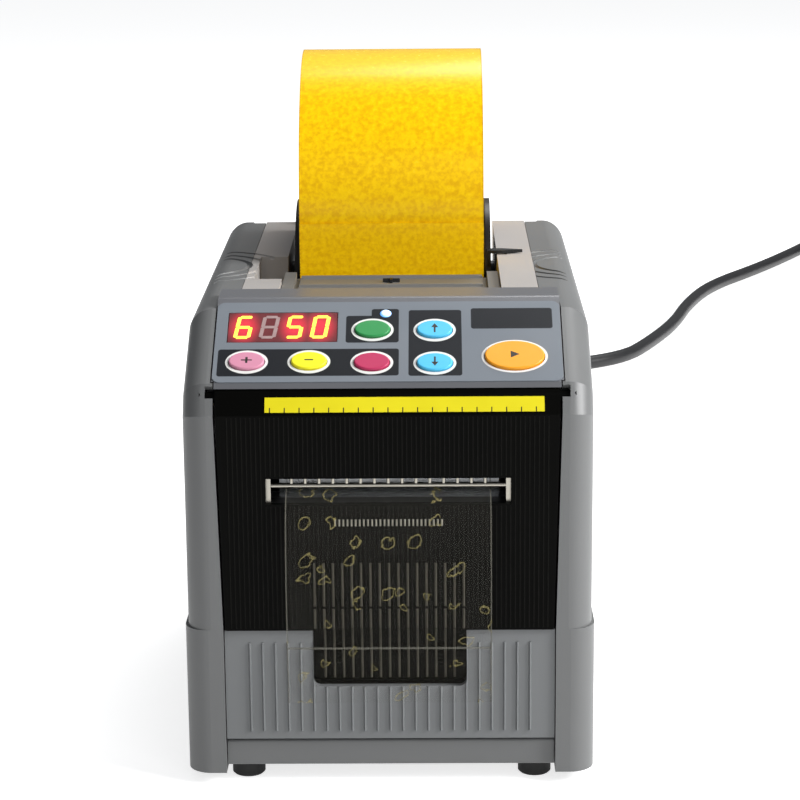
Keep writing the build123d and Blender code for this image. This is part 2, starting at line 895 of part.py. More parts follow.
def gear(teeth, x0, width, y, z, bore, turn=0.0):
    """A spur gear across the machine, with tapered teeth and a bore."""
    pitch_radius = gear_module * teeth / 2
    points = []
    for i in range(teeth):
        middle = 2 * math.pi * i / teeth + math.radians(turn)
        step = 2 * math.pi / teeth
        for across_share, height_share in tooth_shares:
            angle = middle + across_share * step
            radius = pitch_radius + height_share * gear_module
            points.append((y + radius * math.cos(angle), z + radius * math.sin(angle)))
    wheel = across(points, x0, x0 + width)
    return wheel - rod(x0 - overrun, x0 + width + overrun, y, z, bore)


def mesh_turn(teeth, angle):
    """The turn that puts the middle of a tooth gap at an angle."""
    return angle + 180.0 / teeth


def frame_plate_shape(x0, x1):
    """A side plate that carries the shafts, with windows that lighten it."""
    outline = [
        (frame_front_y, frame_toe_z),
        (frame_front_y + frame_toe, frame_low_z),
        (frame_rear_y, frame_low_z),
        (frame_rear_y, frame_back_z),
        (frame_step_y, frame_step_z),
        (frame_crown_rear_y, frame_high_z),
        (frame_crown_front_y, frame_high_z),
        (frame_brow_y, frame_brow_z),
        (frame_front_y, frame_chest_z),
    ]
    plate = across(outline, x0, x1)
    for y, z, hy, hz in frame_windows:
        window = extrude(Plane.YZ.offset(x0 - overrun) * Pos(y, z) * RectangleRounded(2 * hy, 2 * hz, bearing_radius),
                         amount=x1 - x0 + 2 * overrun)
        plate -= window
    return plate


def frame_side(sign):
    """One frame plate, bored for its bearings, tie bars, pivot and motors."""
    x0, x1 = sorted((sign * frame_inner, sign * frame_outer))
    plate = frame_plate_shape(x0, x1)
    holes = [(feed_y, feed_z, bearing_radius), (cam_y, cam_z, bearing_radius),
             (pinch_pivot_y, pinch_pivot_z, pivot_radius)]
    if sign > 0:
        holes += [(idler_y, idler_z, shaft_radius), (pinion_y, pinion_z, bearing_radius)]
    else:
        holes += [(cutter_y, cutter_z, bearing_radius)]
    for y, z, radius in holes:
        plate -= rod(x0 - overrun, x1 + overrun, y, z, radius)
    x2, x3 = sorted((sign * (frame_inner - frame_foot), sign * frame_outer))
    foot = block(x2, x3, frame_front_y + 2 * pillar_depth, frame_rear_y - pillar_depth, frame_low_z,
                 frame_low_z + frame_plate)
    return plate + foot


def frame_left():
    """The left plate with what is riveted to it: three tie bars and the pinch yoke's pivot."""
    frame = frame_side(-1)
    for y, z in tie_places:
        frame += rod(-frame_inner - overrun, frame_inner, y, z, tie_radius)
    return frame + rod(-frame_outer, frame_outer, pinch_pivot_y, pinch_pivot_z, pivot_radius)


def frame_right():
    """The right plate with the idler's stud."""
    end = gear_start_x + gear_width + fit_gap
    frame = frame_side(1) + rod(frame_inner, end + bearing_flange, idler_y, idler_z, shaft_radius)
    frame += rod(end, end + bearing_flange, idler_y, idler_z, shaft_radius + bearing_flange)
    return frame + rod(frame_outer, gear_start_x - fit_gap, idler_y, idler_z, shaft_radius + bearing_flange)


def bearings():
    """Flanged bushes for the feed shaft and the cam shaft, in both plates."""
    bushes = []
    for y, z in ((feed_y, feed_z), (cam_y, cam_z)):
        bush = rod(frame_inner - fit_gap, frame_outer, y, z, bearing_radius)
        bush += rod(frame_outer, frame_outer + bearing_flange, y, z, bearing_radius + bearing_flange)
        bush -= rod(frame_inner - overrun, frame_outer + 2 * bearing_flange, y, z, shaft_radius + run_gap)
        bushes += [bush, mirrored(bush)]
    return group(bushes)


def feed_roller():
    """The feed shaft with its drum."""
    shaft = rod(-frame_outer - bearing_flange - fit_gap, gear_start_x + gear_width + fit_gap, feed_y, feed_z,
                shaft_radius)
    return shaft + rod(-feed_half, feed_half, feed_y, feed_z, feed_drum_radius)


def feed_rings():
    """Rubber rings on the drum that grip the tape's bare side."""
    rings = []
    pitch = (2 * feed_half - feed_ring_width) / (feed_ring_count - 1)
    for i in range(feed_ring_count):
        x0 = -feed_half + i * pitch
        ring = rod(x0, x0 + feed_ring_width, feed_y, feed_z, feed_ring_radius)
        rings.append(ring - rod(x0 - overrun, x0 + feed_ring_width + overrun, feed_y, feed_z, feed_drum_radius))
    return group(rings)


def feed_gear():
    """The gear on the feed shaft's right end."""
    return gear(feed_teeth, gear_start_x, gear_width, feed_y, feed_z, shaft_radius)


def idler_gear():
    """The idler between the motor's pinion and the feed gear."""
    turn = mesh_turn(idler_teeth, idler_angle + 180.0)
    return gear(idler_teeth, gear_start_x, gear_width, idler_y, idler_z, shaft_radius + run_gap, turn)


def idler_phase():
    """The pinion's turn, so that its teeth fall in the idler's gaps."""
    idler_turn = mesh_turn(idler_teeth, idler_angle + 180.0)
    step = 360.0 / idler_teeth
    offset_share = ((pinion_angle - idler_turn) / step) % 1.0
    return pinion_angle + 180.0 + (1 / 2 + offset_share) * 360.0 / pinion_teeth


def motor_pinion():
    """The feed motor's pinion."""
    wheel = gear(pinion_teeth, gear_start_x, gear_width, pinion_y, pinion_z, motor_shaft_radius, idler_phase())
    return wheel + rod(gear_start_x - fit_gap, gear_start_x + gear_width, pinion_y, pinion_z, motor_shaft_radius)


def motor(x_face, length, y, z, radius, sign):
    """A small motor: a can with a rounded end, a nose in its plate and two terminals."""
    x0, x1 = sorted((sign * x_face, sign * (x_face - length)))
    can = rod(x0, x1, y, z, radius)
    can = fillet(can.edges(), radius / 8)
    n0, n1 = sorted((sign * (x_face - radius / 8), sign * frame_outer))
    can += rod(n0, n1, y, z, bearing_radius)
    tail = sign * (x_face - length)
    t0, t1 = sorted((tail, tail - sign * radius / 6))
    for dy in (-radius / 2, radius / 2):
        can += block(t0, t1, y + dy - radius / 8, y + dy + radius / 8, z - radius / 4, z)
    return can


def feed_motor():
    """The feed motor on the right plate."""
    return motor(frame_inner, motor_length, pinion_y, pinion_z, motor_radius, 1)


def cutter_motor():
    """The cutter motor on the left plate."""
    return motor(frame_inner, cutter_motor_length, cutter_y, cutter_z, cutter_motor_radius, -1)


def cutter_pinion():
    """The cutter motor's pinion, outside the left plate."""
    x0 = -gear_start_x - gear_width + overrun
    step = 360.0 / cam_gear_teeth
    offset_share = (cutter_angle / step) % 1.0
    turn = cutter_angle + 180.0 + (1 / 2 + offset_share) * 360.0 / cutter_pinion_teeth
    wheel = gear(cutter_pinion_teeth, x0, gear_width - overrun, cutter_y, cutter_z, motor_shaft_radius, turn)
    return wheel + rod(x0, -gear_start_x + fit_gap, cutter_y, cutter_z, motor_shaft_radius)


cam_steps = 48
cam_dwell_degrees = 15.0
cam_fall_degrees = 180.0


def cam_pitch(turn):
    """The follower's distance from the cam shaft when the cam has turned so far."""
    low = cam_base_radius + follower_radius
    if turn < cam_rise_degrees:
        return low + cam_lift * turn / cam_rise_degrees
    fall = turn - cam_rise_degrees - cam_dwell_degrees
    if fall < 0:
        return low + cam_lift
    if fall < cam_fall_degrees:
        return low + cam_lift * (1 + math.cos(math.pi * fall / cam_fall_degrees)) / 2
    return low


def cam_outline():
    """The cam's edge: the follower's path, moved in by its radius."""
    points = []
    nudge = 0.5
    for i in range(cam_steps):
        turn = 360.0 * i / cam_steps
        here = [polar(0, 0, cam_pitch((turn + d) % 360.0), -90.0 + turn + d) for d in (-nudge, 0, nudge)]
        dy, dz = here[2][0] - here[0][0], here[2][1] - here[0][1]
        size = math.hypot(dy, dz)
        y, z = here[1]
        reach = follower_radius + shear_gap
        points.append((cam_y + y - dz / size * reach, cam_z + z + dy / size * reach))
    return points


def cam_shaft():
    """The cam shaft with its gear and two spiral cams."""
    shaft = rod(-gear_start_x - gear_width, frame_outer + bearing_flange + fit_gap, cam_y, cam_z, shaft_radius)
    cam = across(cam_outline(), cam_x, cam_x + cam_width)
    hub = rod(cam_x - cam_width / 2, cam_x + cam_width, cam_y, cam_z, cam_base_radius - overrun)
    wheel_x = -gear_start_x - gear_width + overrun
    wheel = gear(cam_gear_teeth, wheel_x, gear_width - overrun, cam_y, cam_z, shaft_radius)
    return shaft + both_sides(cam + hub) + wheel


# Cutter
slide_x = 48.5
slide_thickness = 2.0
slide_back_y = -90.0
slide_front_y = -98.0
slide_foot = 5.0
slide_foot_y = cam_y + slide_foot
block_back_y = shear_y - blade_thickness - shear_gap
block_low_z = 121.5
block_high_z = 131.0
bed_low_z = 96.0
bed_high_z = 100.0
post_radius = 2.0
post_x = 44.0
post_y = -96.2
post_high_z = 133.0
tooth_pitch = 3.0
tooth_depth = 1.2
blade_vee = 1.6
blade_lift = 1.8
follower_z = cam_z - cam_base_radius - follower_radius


def blade_slide():
    """The moving frame: a cross bar that holds the blade, two side links and the follower pins under the cams."""
    bar = block(-slide_x - slide_thickness, slide_x + slide_thickness, slide_front_y, block_back_y, block_low_z,
                block_high_z)
    for sx in (-1, 1):
        bar -= post(sx * post_x, post_y, block_low_z - overrun, block_high_z + overrun, post_radius + 2 * run_gap)
    link = block(slide_x, slide_x + slide_thickness, slide_front_y, slide_back_y,
                 follower_z - follower_radius, block_high_z)
    link += block(slide_x, slide_x + slide_thickness, slide_back_y - overrun, slide_foot_y,
                  follower_z - follower_radius, follower_z + follower_radius)
    link += rod(cam_x - cam_width / 4, slide_x + overrun, cam_y, follower_z, post_radius)
    link += rod(cam_x + cam_width + fit_gap, slide_x + overrun, cam_y, follower_z, follower_radius - overrun)
    link += rod(cam_x, cam_x + cam_width, cam_y, follower_z, follower_radius)
    return bar + both_sides(link)


def upper_blade():
    """The moving blade: a thin plate with a shallow vee of saw teeth."""
    y1 = shear_y - shear_gap
    low = web_at_shear_z + web_thickness + blade_lift
    points = [(-blade_half, block_high_z - overrun), (-blade_half, low + blade_vee)]
    count = int(2 * blade_half / tooth_pitch)
    for i in range(count):
        x = -blade_half + tooth_pitch * (i + 1 / 2)
        rise = blade_vee * abs(x) / blade_half
        points.append((x, low + rise))
        points.append((x + tooth_pitch / 2, low + rise + tooth_depth))
    points += [(blade_half, low + blade_vee), (blade_half, block_high_z - overrun)]
    return along(points, y1 - blade_thickness, y1)


def lower_blade():
    """The fixed blade, a straight ground strip."""
    y0 = shear_y + shear_gap
    top = web_at_shear_z - fit_gap - web_thickness
    strip = across(
        [
            (y0, bed_high_z),
            (y0, top),
            (y0 + blade_thickness / 3, top),
            (y0 + blade_thickness, top - blade_thickness),
            (y0 + blade_thickness, bed_high_z),
        ],
        -blade_half,
        blade_half,
    )
    return strip


def cutter_bed():
    """The fixed bar under the cutter: it holds the lower blade and the slide's two guide posts."""
    inner = slide_x - fit_gap * 2
    bed = block(-inner, inner, slide_front_y - 2 * fit_gap, slide_back_y + 5 * fit_gap, bed_low_z, bed_high_z)
    bed += block(-frame_inner, frame_inner, slide_back_y + 2 * fit_gap, slide_back_y + 2 * post_radius, bed_low_z,
                 bed_high_z)
    y0 = shear_y + shear_gap + blade_thickness
    top = web_at_shear_z - 4 * overrun
    bed += across([(y0, bed_low_z), (y0, top), (y0 + 2 * overrun, top), (slide_back_y + 2 * post_radius, bed_high_z),
                   (slide_back_y + 2 * post_radius, bed_low_z)], -blade_half, blade_half)
    bed += both_sides(post(post_x, post_y, bed_low_z, post_high_z, post_radius))
    return bed


spring_wire = 0.5
spring_turns = 7


def coil_spring(radius, length, turns, wire):
    """A wound spring along +Z, from zero."""
    path = Helix(pitch=length / turns, height=length, radius=radius)
    section = Plane(origin=path @ 0, z_dir=path % 0) * Circle(wire)
    return sweep(section, path=path, is_frenet=True)


def return_springs():
    """The springs on the guide posts that lift the slide."""
    low = bed_high_z + spring_wire + fit_gap / 3
    high = block_low_z - spring_wire - fit_gap / 3
    spring = coil_spring(post_radius + spring_wire + fit_gap, high - low, spring_turns, spring_wire)
    left = Pos(-post_x, post_y, low) * spring
    right = Pos(post_x, post_y, low) * spring
    return group([left, right])


# Pinch roller
def pinch_roller():
    """The pressing roller with its axle ends."""
    axle = rod(-pinch_arm_x - pinch_arm_width, pinch_arm_x + pinch_arm_width, pinch_y, pinch_z, post_radius)
    return axle + rod(-pinch_half, pinch_half, pinch_y, pinch_z, pinch_radius)


def pinch_arm():
    """The rocking yoke: two arms joined by the sleeve on its pivot."""
    size = math.hypot(pinch_y - pinch_pivot_y, pinch_z - pinch_pivot_z)
    uy, uz = (pinch_y - pinch_pivot_y) / size, (pinch_z - pinch_pivot_z) / size
    h = bearing_radius - overrun
    points = [
        (pinch_pivot_y - uz * h, pinch_pivot_z + uy * h),
        (pinch_y - uz * h, pinch_z + uy * h),
        (pinch_y + uz * h, pinch_z - uy * h),
        (pinch_pivot_y + uz * h, pinch_pivot_z - uy * h),
    ]
    arm = across(points, pinch_arm_x, pinch_arm_x + pinch_arm_width)
    arm += rod(pinch_arm_x, pinch_arm_x + pinch_arm_width, pinch_y, pinch_z, h)
    arm -= rod(pinch_arm_x - overrun, pinch_arm_x + 2 * pinch_arm_width, pinch_y, pinch_z, post_radius + run_gap)
    yoke = both_sides(arm) + rod(-pinch_arm_x - pinch_arm_width, pinch_arm_x + pinch_arm_width, pinch_pivot_y,
                                 pinch_pivot_z, h)
    return yoke - rod(-frame_inner, frame_inner, pinch_pivot_y, pinch_pivot_z, pivot_radius + run_gap)



# Guide plate over the web
flute_top_z = 158.0
nose_radius = 3.0
flute_rear_y = roll_y - roll_radius - nose_radius - web_thickness - fit_gap
flute_front_y = -42.0
flute_thickness = 2.0
flute_pitch = 2.4
flute_height = 0.6
flute_half = tape_width / 2
guide_half = throat_half - fit_gap
nose_z = flute_top_z - flute_height - nose_radius


def guide_plate():
    """The fluted plate over the tape's path, with end blocks and a rounded rear nose that the tape turns under."""
    top = flute_top_z - flute_height
    plate = block(-guide_half, guide_half, flute_front_y, flute_rear_y, top - flute_thickness, top)
    plate += rod(-guide_half, guide_half, flute_rear_y, nose_z, nose_radius)
    count = int(2 * flute_half / flute_pitch)
    for i in range(count):
        x = (i - (count - 1) / 2) * flute_pitch
        plate += along(
            [(x - flute_height, top), (x, top + flute_height), (x + flute_height, top)],
            flute_front_y,
            flute_rear_y,
        )
    for sx in (-1, 1):
        x0, x1 = sorted((sx * (flute_half + overrun), sx * guide_half))
        plate += block(x0, x1, flute_front_y + flute_thickness, flute_rear_y, top, flute_top_z + flute_thickness)
    return plate


# Roll supports and guide discs
def support(place):
    """A support roller with its axle."""
    y, z = place
    axle = rod(-throat_half - throat_wall, throat_half + throat_wall, y, z, support_axle_radius)
    drum = rod(-support_half, support_half, y, z, support_radius)
    for x in (-support_half, support_half):
        rims = [e for e in drum.edges() if abs(e.center().X - x) < fit_gap]
        drum = chamfer(rims, overrun)
    return axle + drum


disc_inner_x = tape_width / 2 + 2 * fit_gap
disc_thickness = 1.2
disc_dish = 1.4
arm_width = 5.0
pointer_length = 8.0
arm_thickness = 1.2
arm_top_z = deck_z + fit_gap + arm_thickness


def guide_disc(sign):
    """A dished disc that keeps the roll in line, on a sliding pin in the throat's wall."""
    x1 = disc_inner_x + disc_thickness
    disc = rod(disc_inner_x, x1, disc_y, disc_z, disc_radius)
    rim = rod(x1, x1 + disc_dish, disc_y, disc_z, disc_radius)
    rim -= rod(x1 - overrun, x1 + disc_dish + overrun, disc_y, disc_z, disc_radius - 2 * disc_thickness)
    disc += rim
    disc = fillet(disc.edges().group_by(Axis.X)[0], disc_thickness / 2)
    disc += rod(x1 - overrun / 2, x1 + disc_dish, disc_y, disc_z, disc_hub_radius)
    disc += rod(x1, throat_half + 3 * throat_wall, disc_y, disc_z, disc_pin_radius)
    if sign > 0:
        low = disc_z + (disc_radius - arm_width) * math.sin(math.radians(120.0))
        root_y = disc_y + (disc_radius - arm_width) * math.cos(math.radians(120.0))
        arm = across(
            [(root_y, low - arm_width), (root_y, low), (pointer_y + arm_width / 2, arm_top_z),
             (pointer_y - arm_width / 2, arm_top_z), (pointer_y - arm_width / 2, deck_z - arm_width)],
            x1,
            x1 + disc_dish,
        )
        tip_x = throat_half + throat_wall + pointer_length
        arm += upright(
            [(x1, pointer_y - arm_width / 2), (throat_half + throat_wall, pointer_y - arm_width / 2),
             (tip_x, pointer_y), (throat_half + throat_wall, pointer_y + arm_width / 2),
             (x1, pointer_y + arm_width / 2)],
            deck_z + fit_gap,
            arm_top_z,
        )
        return disc + arm
    return mirrored(disc)


def tape_roll():
    """The wound tape, a ring with its bore."""
    half = tape_width / 2
    ring = rod(-half, half, roll_y, roll_z, roll_radius)
    return ring - rod(-half - overrun, half + overrun, roll_y, roll_z, core_outer_radius)


def roll_core():
    """The cardboard tube inside the roll."""
    half = tape_width / 2
    tube = rod(-half, half, roll_y, roll_z, core_outer_radius)
    return tube - rod(-half - overrun, half + overrun, roll_y, roll_z, core_outer_radius - core_wall)


web_start_z = 178.0
web_gap = 0.1


def web_edge(lift):
    """One face of the web: down from the roll, round the nose, over the feed roller and down to the cutter."""
    nose = nose_radius + web_gap + lift
    feed = feed_ring_radius + web_gap + web_thickness - lift
    dy, dz = flute_rear_y - feed_y, nose_z - feed_z
    centre = math.atan2(dz, dy)
    tilt = centre - math.asin((nose + feed) / math.hypot(dy, dz))
    under = (flute_rear_y + nose * math.sin(tilt), nose_z - nose * math.cos(tilt))
    quarter = (flute_rear_y + nose * math.cos((math.pi / 2 - tilt) / 2),
               nose_z - nose * math.sin((math.pi / 2 - tilt) / 2))
    over = polar(feed_y, feed_z, feed, 90.0 + math.degrees(tilt))
    leave = polar(feed_y, feed_z, feed, pinch_angle)
    end_y = shear_y + fit_gap
    return [
        Line((flute_rear_y + nose, web_start_z), (flute_rear_y + nose, nose_z)),
        ThreePointArc((flute_rear_y + nose, nose_z), quarter, under),
        Line(under, over),
        ThreePointArc(over, polar(feed_y, feed_z, feed, (90.0 + math.degrees(tilt) + pinch_angle) / 2), leave),
        Line(leave, (end_y, leave[1] - (leave[0] - end_y) * web_slope)),
    ]


def tape_web():
    """The tape from the roll under the guide plate and through the nip, up to the cutter's shear line."""
    inner = web_edge(0)
    outer = web_edge(web_thickness)
    edges = inner + outer + [Line(inner[0] @ 0, outer[0] @ 0), Line(inner[-1] @ 1, outer[-1] @ 1)]
    return extrude(Plane.YZ.offset(-tape_width / 2) * make_face(edges), amount=tape_width)


strip_drop_z = 32.0
strip_thickness = 0.3
strip_sag = 1.6
strip_throw = 8.0
strip_bow = 12.7
strip_end = 4.0
strip_bow_share = 0.45


def strip_face(shift_y, shift_z):
    """One face of the strip: down the slot's slope, over the lip and down in a soft bow."""
    start_y = front_y + cover_wall + chute_depth - fit_gap
    start_z = nip_z - (nip_y - start_y) * web_slope - strip_sag
    lip_z = start_z - (start_y - front_y) * web_slope
    lip = (front_y + shift_y, lip_z + shift_z)
    fall = Bezier(
        lip,
        (front_y - strip_throw + shift_y, lip_z - strip_throw * web_slope + shift_z),
        (front_y - strip_bow + shift_y, lip_z - (lip_z - strip_drop_z) * strip_bow_share),
        (front_y - strip_end + shift_y, strip_drop_z),
    )
    return [Line((start_y, start_z + shift_z), lip), fall]


def tape_strip():
    """The cut length that hangs out of the slot, with a gentle curl."""
    inner = strip_face(0, 0)
    outer = strip_face(-strip_thickness, strip_thickness)
    edges = inner + outer + [Line(inner[0] @ 0, outer[0] @ 0), Line(inner[1] @ 1, outer[1] @ 1)]
    return extrude(Plane.YZ.offset(-tape_width / 2) * make_face(edges), amount=tape_width)


# Electrics
board_z = 16.0
board_x0 = -10.0
board_x1 = 54.0
board_y0 = 36.0
board_y1 = 96.0
core_x = -33.0
core_y = 66.0
core_half_x = 16.0
core_half_y = 19.0
core_height = 32.0
winding_half_y = 11.0
pad_thickness = 2.0
switch_bezel = 2.0
switch_depth = 14.0
rocker_half_x = 7.5
rocker_half_z = 4.8
rocker_radius = 14.0
gland_nose = 14.0
gland_flange = 8.5
gland_lug = 2.0
cord_radius = 4.0


def transformer():
    """The mains transformer: a stacked core with its winding and two feet, on the pan."""
    low = pan_inner_z + pad_thickness
    core = block(core_x - core_half_x, core_x + core_half_x, core_y - core_half_y, core_y + core_half_y, low,
                 low + core_height)
    core += block(core_x - core_half_x - 2 * pad_thickness, core_x + core_half_x + 2 * pad_thickness,
                  core_y - winding_half_y, core_y + winding_half_y, low + 2 * pad_thickness,
                  low + core_height - 2 * pad_thickness)
    core += block(core_x - core_half_x - pad_thickness, core_x + core_half_x + pad_thickness,
                  core_y - core_half_y - 2 * pad_thickness, core_y + core_half_y + 2 * pad_thickness, pan_inner_z, low)
    return core


def main_board():
    """The control board on four posts, with its relays, capacitor and sockets."""
    board = block(board_x0, board_x1, board_y0, board_y1, board_z, board_z + board_thickness)
    top = board_z + board_thickness
    unit = (board_x1 - board_x0) / 14
    for x in (board_x0 + unit, board_x1 - unit):
        for y in (board_y0 + unit, board_y1 - unit):
            board += post(x, y, pan_inner_z, board_z, unit / 2)
    for i in range(3):
        x = board_x0 + unit * (3 + 3 * i)
        board += block(x - unit, x + unit, board_y0 + unit, board_y0 + 3 * unit, top, top + 2 * unit)
    board += post(board_x1 - 2 * unit, board_y1 - 3 * unit, top, top + 4 * unit, unit)
    board += block(board_x0 + 3 * unit, board_x0 + 8 * unit, board_y1 - 4 * unit, board_y1 - 3 * unit, top,
                   top + unit)
    return board


def power_switch():
    """The switch's frame in the rear cover."""
    y1 = rear_y + switch_bezel / 2
    hx, hz = switch_half_x - fit_gap / 3, switch_half_z - fit_gap / 3
    frame = block(switch_x - hx, switch_x + hx, rear_y - switch_depth, y1, switch_z - hz, switch_z + hz)
    frame += block(switch_x - hx - switch_bezel, switch_x + hx + switch_bezel, rear_y, y1,
                   switch_z - hz - switch_bezel, switch_z + hz + switch_bezel)
    rx, rz = rocker_half_x + fit_gap, rocker_half_z + fit_gap
    frame -= block(switch_x - rx, switch_x + rx, rear_y - switch_depth / 2, y1 + overrun, switch_z - rz,
                   switch_z + rz)
    frame -= rod(switch_x - rx - overrun, switch_x + rx + overrun, rear_y - switch_bezel, switch_z,
                 screw_radius / 2 + run_gap)
    return frame


def power_rocker():
    """The rocker, a curved key on a pin."""
    key = block(switch_x - rocker_half_x, switch_x + rocker_half_x, rear_y - switch_depth / 4,
                rear_y + 2 * switch_bezel, switch_z - rocker_half_z, switch_z + rocker_half_z)
    key -= rod(switch_x - switch_half_x, switch_x + switch_half_x, rear_y + rocker_radius + switch_bezel * 3 / 4,
               switch_z, rocker_radius)
    key &= rod(switch_x - rocker_half_x, switch_x + rocker_half_x, rear_y - switch_bezel, switch_z,
               rocker_half_z + fit_gap / 2)
    pin = rocker_half_x + fit_gap + overrun
    return key + rod(switch_x - pin, switch_x + pin, rear_y - switch_bezel, switch_z, screw_radius / 2)


def cord_gland():
    """The strain relief in the rear cover: a flange inside and out, and a ringed nose."""
    gland = lengthwise(gland_x, gland_z, rear_y - wall - gland_lug, rear_y + gland_nose, gland_hole - fit_gap / 3)
    gland += lengthwise(gland_x, gland_z, rear_y, rear_y + gland_lug, gland_flange)
    gland += lengthwise(gland_x, gland_z, rear_y - wall - gland_lug, rear_y - wall, gland_flange)
    for i in range(3):
        y = rear_y + gland_lug * (2 + 2 * i)
        gland -= lengthwise(gland_x, gland_z, y, y + gland_lug / 2, gland_flange) - lengthwise(
            gland_x, gland_z, y, y + gland_lug / 2, cord_radius + gland_lug / 4)
    return gland


# Mains cord: it leaves the gland, drops to the counter and runs away behind the machine
cord_z = 4.0
coil_turn = -27.0
coil_x = 360.0
coil_y = 940.0
coil_start_radius = 46.0
coil_step = 4.5
coil_rise = 8.5
coil_last_radius = 53.5
coil_tail = 9.0
cord_arc_share = 0.45
cord_last_run = 92.0
cord_route = [
    (40.0, 122.0, 26.0),
    (40.0, 152.0, 26.0),
    (42.0, 205.0, 4.0),
    (44.0, 262.0, 4.0),
    (40.0, 330.0, 4.0),
    (40.0, 398.0, 4.0),
    (54.0, 463.0, 4.0),
    (86.0, 517.0, 4.0),
    (130.0, 541.0, 4.0),
    (150.0, 585.0, 4.0),
    (170.0, 640.0, 4.0),
    (184.0, 700.0, 4.0),
    (206.0, 762.0, 4.0),
    (244.0, 820.0, 4.0),
]


def coil_point(x, y, z):
    """A place in the coil's own frame, put on the counter."""
    a = math.radians(coil_turn)
    return Vector(coil_x + x * math.cos(a) - y * math.sin(a), coil_y + x * math.sin(a) + y * math.cos(a), z)


def coil_heading(x, y, z):
    """A direction in the coil's own frame."""
    return coil_point(x, y, z) - coil_point(0, 0, 0)


def cord_points():
    """The route's points, with its last run ending where the coil starts."""
    before = coil_point(-coil_start_radius, -cord_last_run, cord_z)
    return [Vector(*p) for p in cord_route] + [before, coil_point(-coil_start_radius, 0, cord_z)]


def cord_radii(points):
    """The largest arc that each inner point's two runs allow."""
    radii = []
    for a, b, c in zip(points, points[1:], points[2:]):
        turn = (b - a).get_angle(c - b)
        run = min((b - a).length, (c - b).length)
        radii.append(cord_arc_share * run / math.tan(math.radians(turn) / 2))
    return radii



def cord():
    """The mains cord from the gland to the coil."""
    points = cord_points()
    radii = cord_radii(points)
    print("cord radii", [round(r) for r in radii])
    path = FilletPolyline(*points, radius=radii)
    section = Plane(origin=path @ 0, z_dir=path % 0) * Circle(cord_radius)
    tube = sweep(section, path=path)
    print("cord volume against section times length", round(tube.volume / (math.pi * cord_radius**2 * path.length), 4))
    print("cord length", round(path.length))
    return tube


def coil_path():
    """The put-away turns: in on the counter, up, and out over them, as half turns."""
    z1 = cord_z
    z2 = cord_z + coil_rise
    r = coil_start_radius
    d = coil_step
    edges = []

    def half_turn(x0, x1, z, side):
        middle = ((x0 + x1) / 2, side * abs(x1 - x0) / 2, z)
        edges.append(ThreePointArc(coil_point(x0, 0, z), coil_point(*middle), coil_point(x1, 0, z)))
        return x1

    x = half_turn(-r, r, z1, 1)
    x = half_turn(x, -(r - 2 * d), z1, -1)
    x = half_turn(x, r - 2 * d, z1, 1)
    far = -(r - 4 * d)
    half = (x - far) / 2
    rise = coil_rise / 2
    middle = (x - half, -math.hypot(half, rise), z1 + rise)
    edges.append(TangentArc(coil_point(x, 0, z1), coil_point(*middle), tangent=coil_heading(0, -1.0, 0)))
    edges.append(TangentArc(coil_point(*middle), coil_point(far, 0, z2), tangent=coil_heading(-half, 0, rise)))
    x = half_turn(far, r, z2, 1)
    x = half_turn(x, r - 2 * coil_last_radius, z2, -1)
    edges.append(Line(coil_point(x, 0, z2), coil_point(x, coil_tail, z2)))
    return Wire(edges), x


def coil_gap(path):
    """The least gap of the coil to itself, measured on points along it."""
    count = 600
    points = [path @ (i / count) for i in range(count + 1)]
    step = path.length / count
    apart = int(4 * cord_radius / step) + 1
    return min((points[i] - points[j]).length for i in range(count) for j in range(i + apart, count)) - 2 * cord_radius


def cord_coil():
    """The rest of the cord, wound up on the counter."""
    path, _ = coil_path()
    print("coil length", round(path.length), "least gap", round(coil_gap(path), 2))
    section = Plane(origin=path @ 0, z_dir=path % 0) * Circle(cord_radius)
    return sweep(section, path=path)


plug_length = 34.0
plug_width = 19.0
plug_height = 25.0
plug_neck = 8.0
blade_long = 17.0
blade_wide = 6.3
blade_thin = 1.5
blade_apart = 12.7


def plug():
    """The mains plug at the cord's end: a tapered body with a grip neck and two flat blades."""
    _, x = coil_path()
    z = cord_z + coil_rise
    y0 = coil_tail
    neck = extrude(Plane.XZ.offset(-y0 - plug_neck) * Pos(0, z) * Circle(cord_radius * 3 / 2), amount=plug_neck)
    body = loft([
        Plane.XZ.offset(-y0 - plug_neck) * Pos(0, z) * Rectangle(plug_width * 3 / 4, plug_height * 3 / 4),
        Plane.XZ.offset(-y0 - plug_neck - plug_length / 2) * Pos(0, z) * Rectangle(plug_width, plug_height - fit_gap),
        Plane.XZ.offset(-y0 - plug_neck - plug_length) * Pos(0, z) * Rectangle(plug_width, plug_height - fit_gap),
    ], ruled=True)
    shape = neck + body
    y1 = y0 + plug_neck + plug_length
    for sz in (-1, 1):
        middle = z + sz * blade_apart / 2
        shape += block(-blade_wide / 2, blade_wide / 2, y1, y1 + blade_long, middle - blade_thin / 2,
                       middle + blade_thin / 2)
    return Pos(coil_x, coil_y, 0) * Rot(0, 0, coil_turn) * Pos(x, 0, 0) * shape


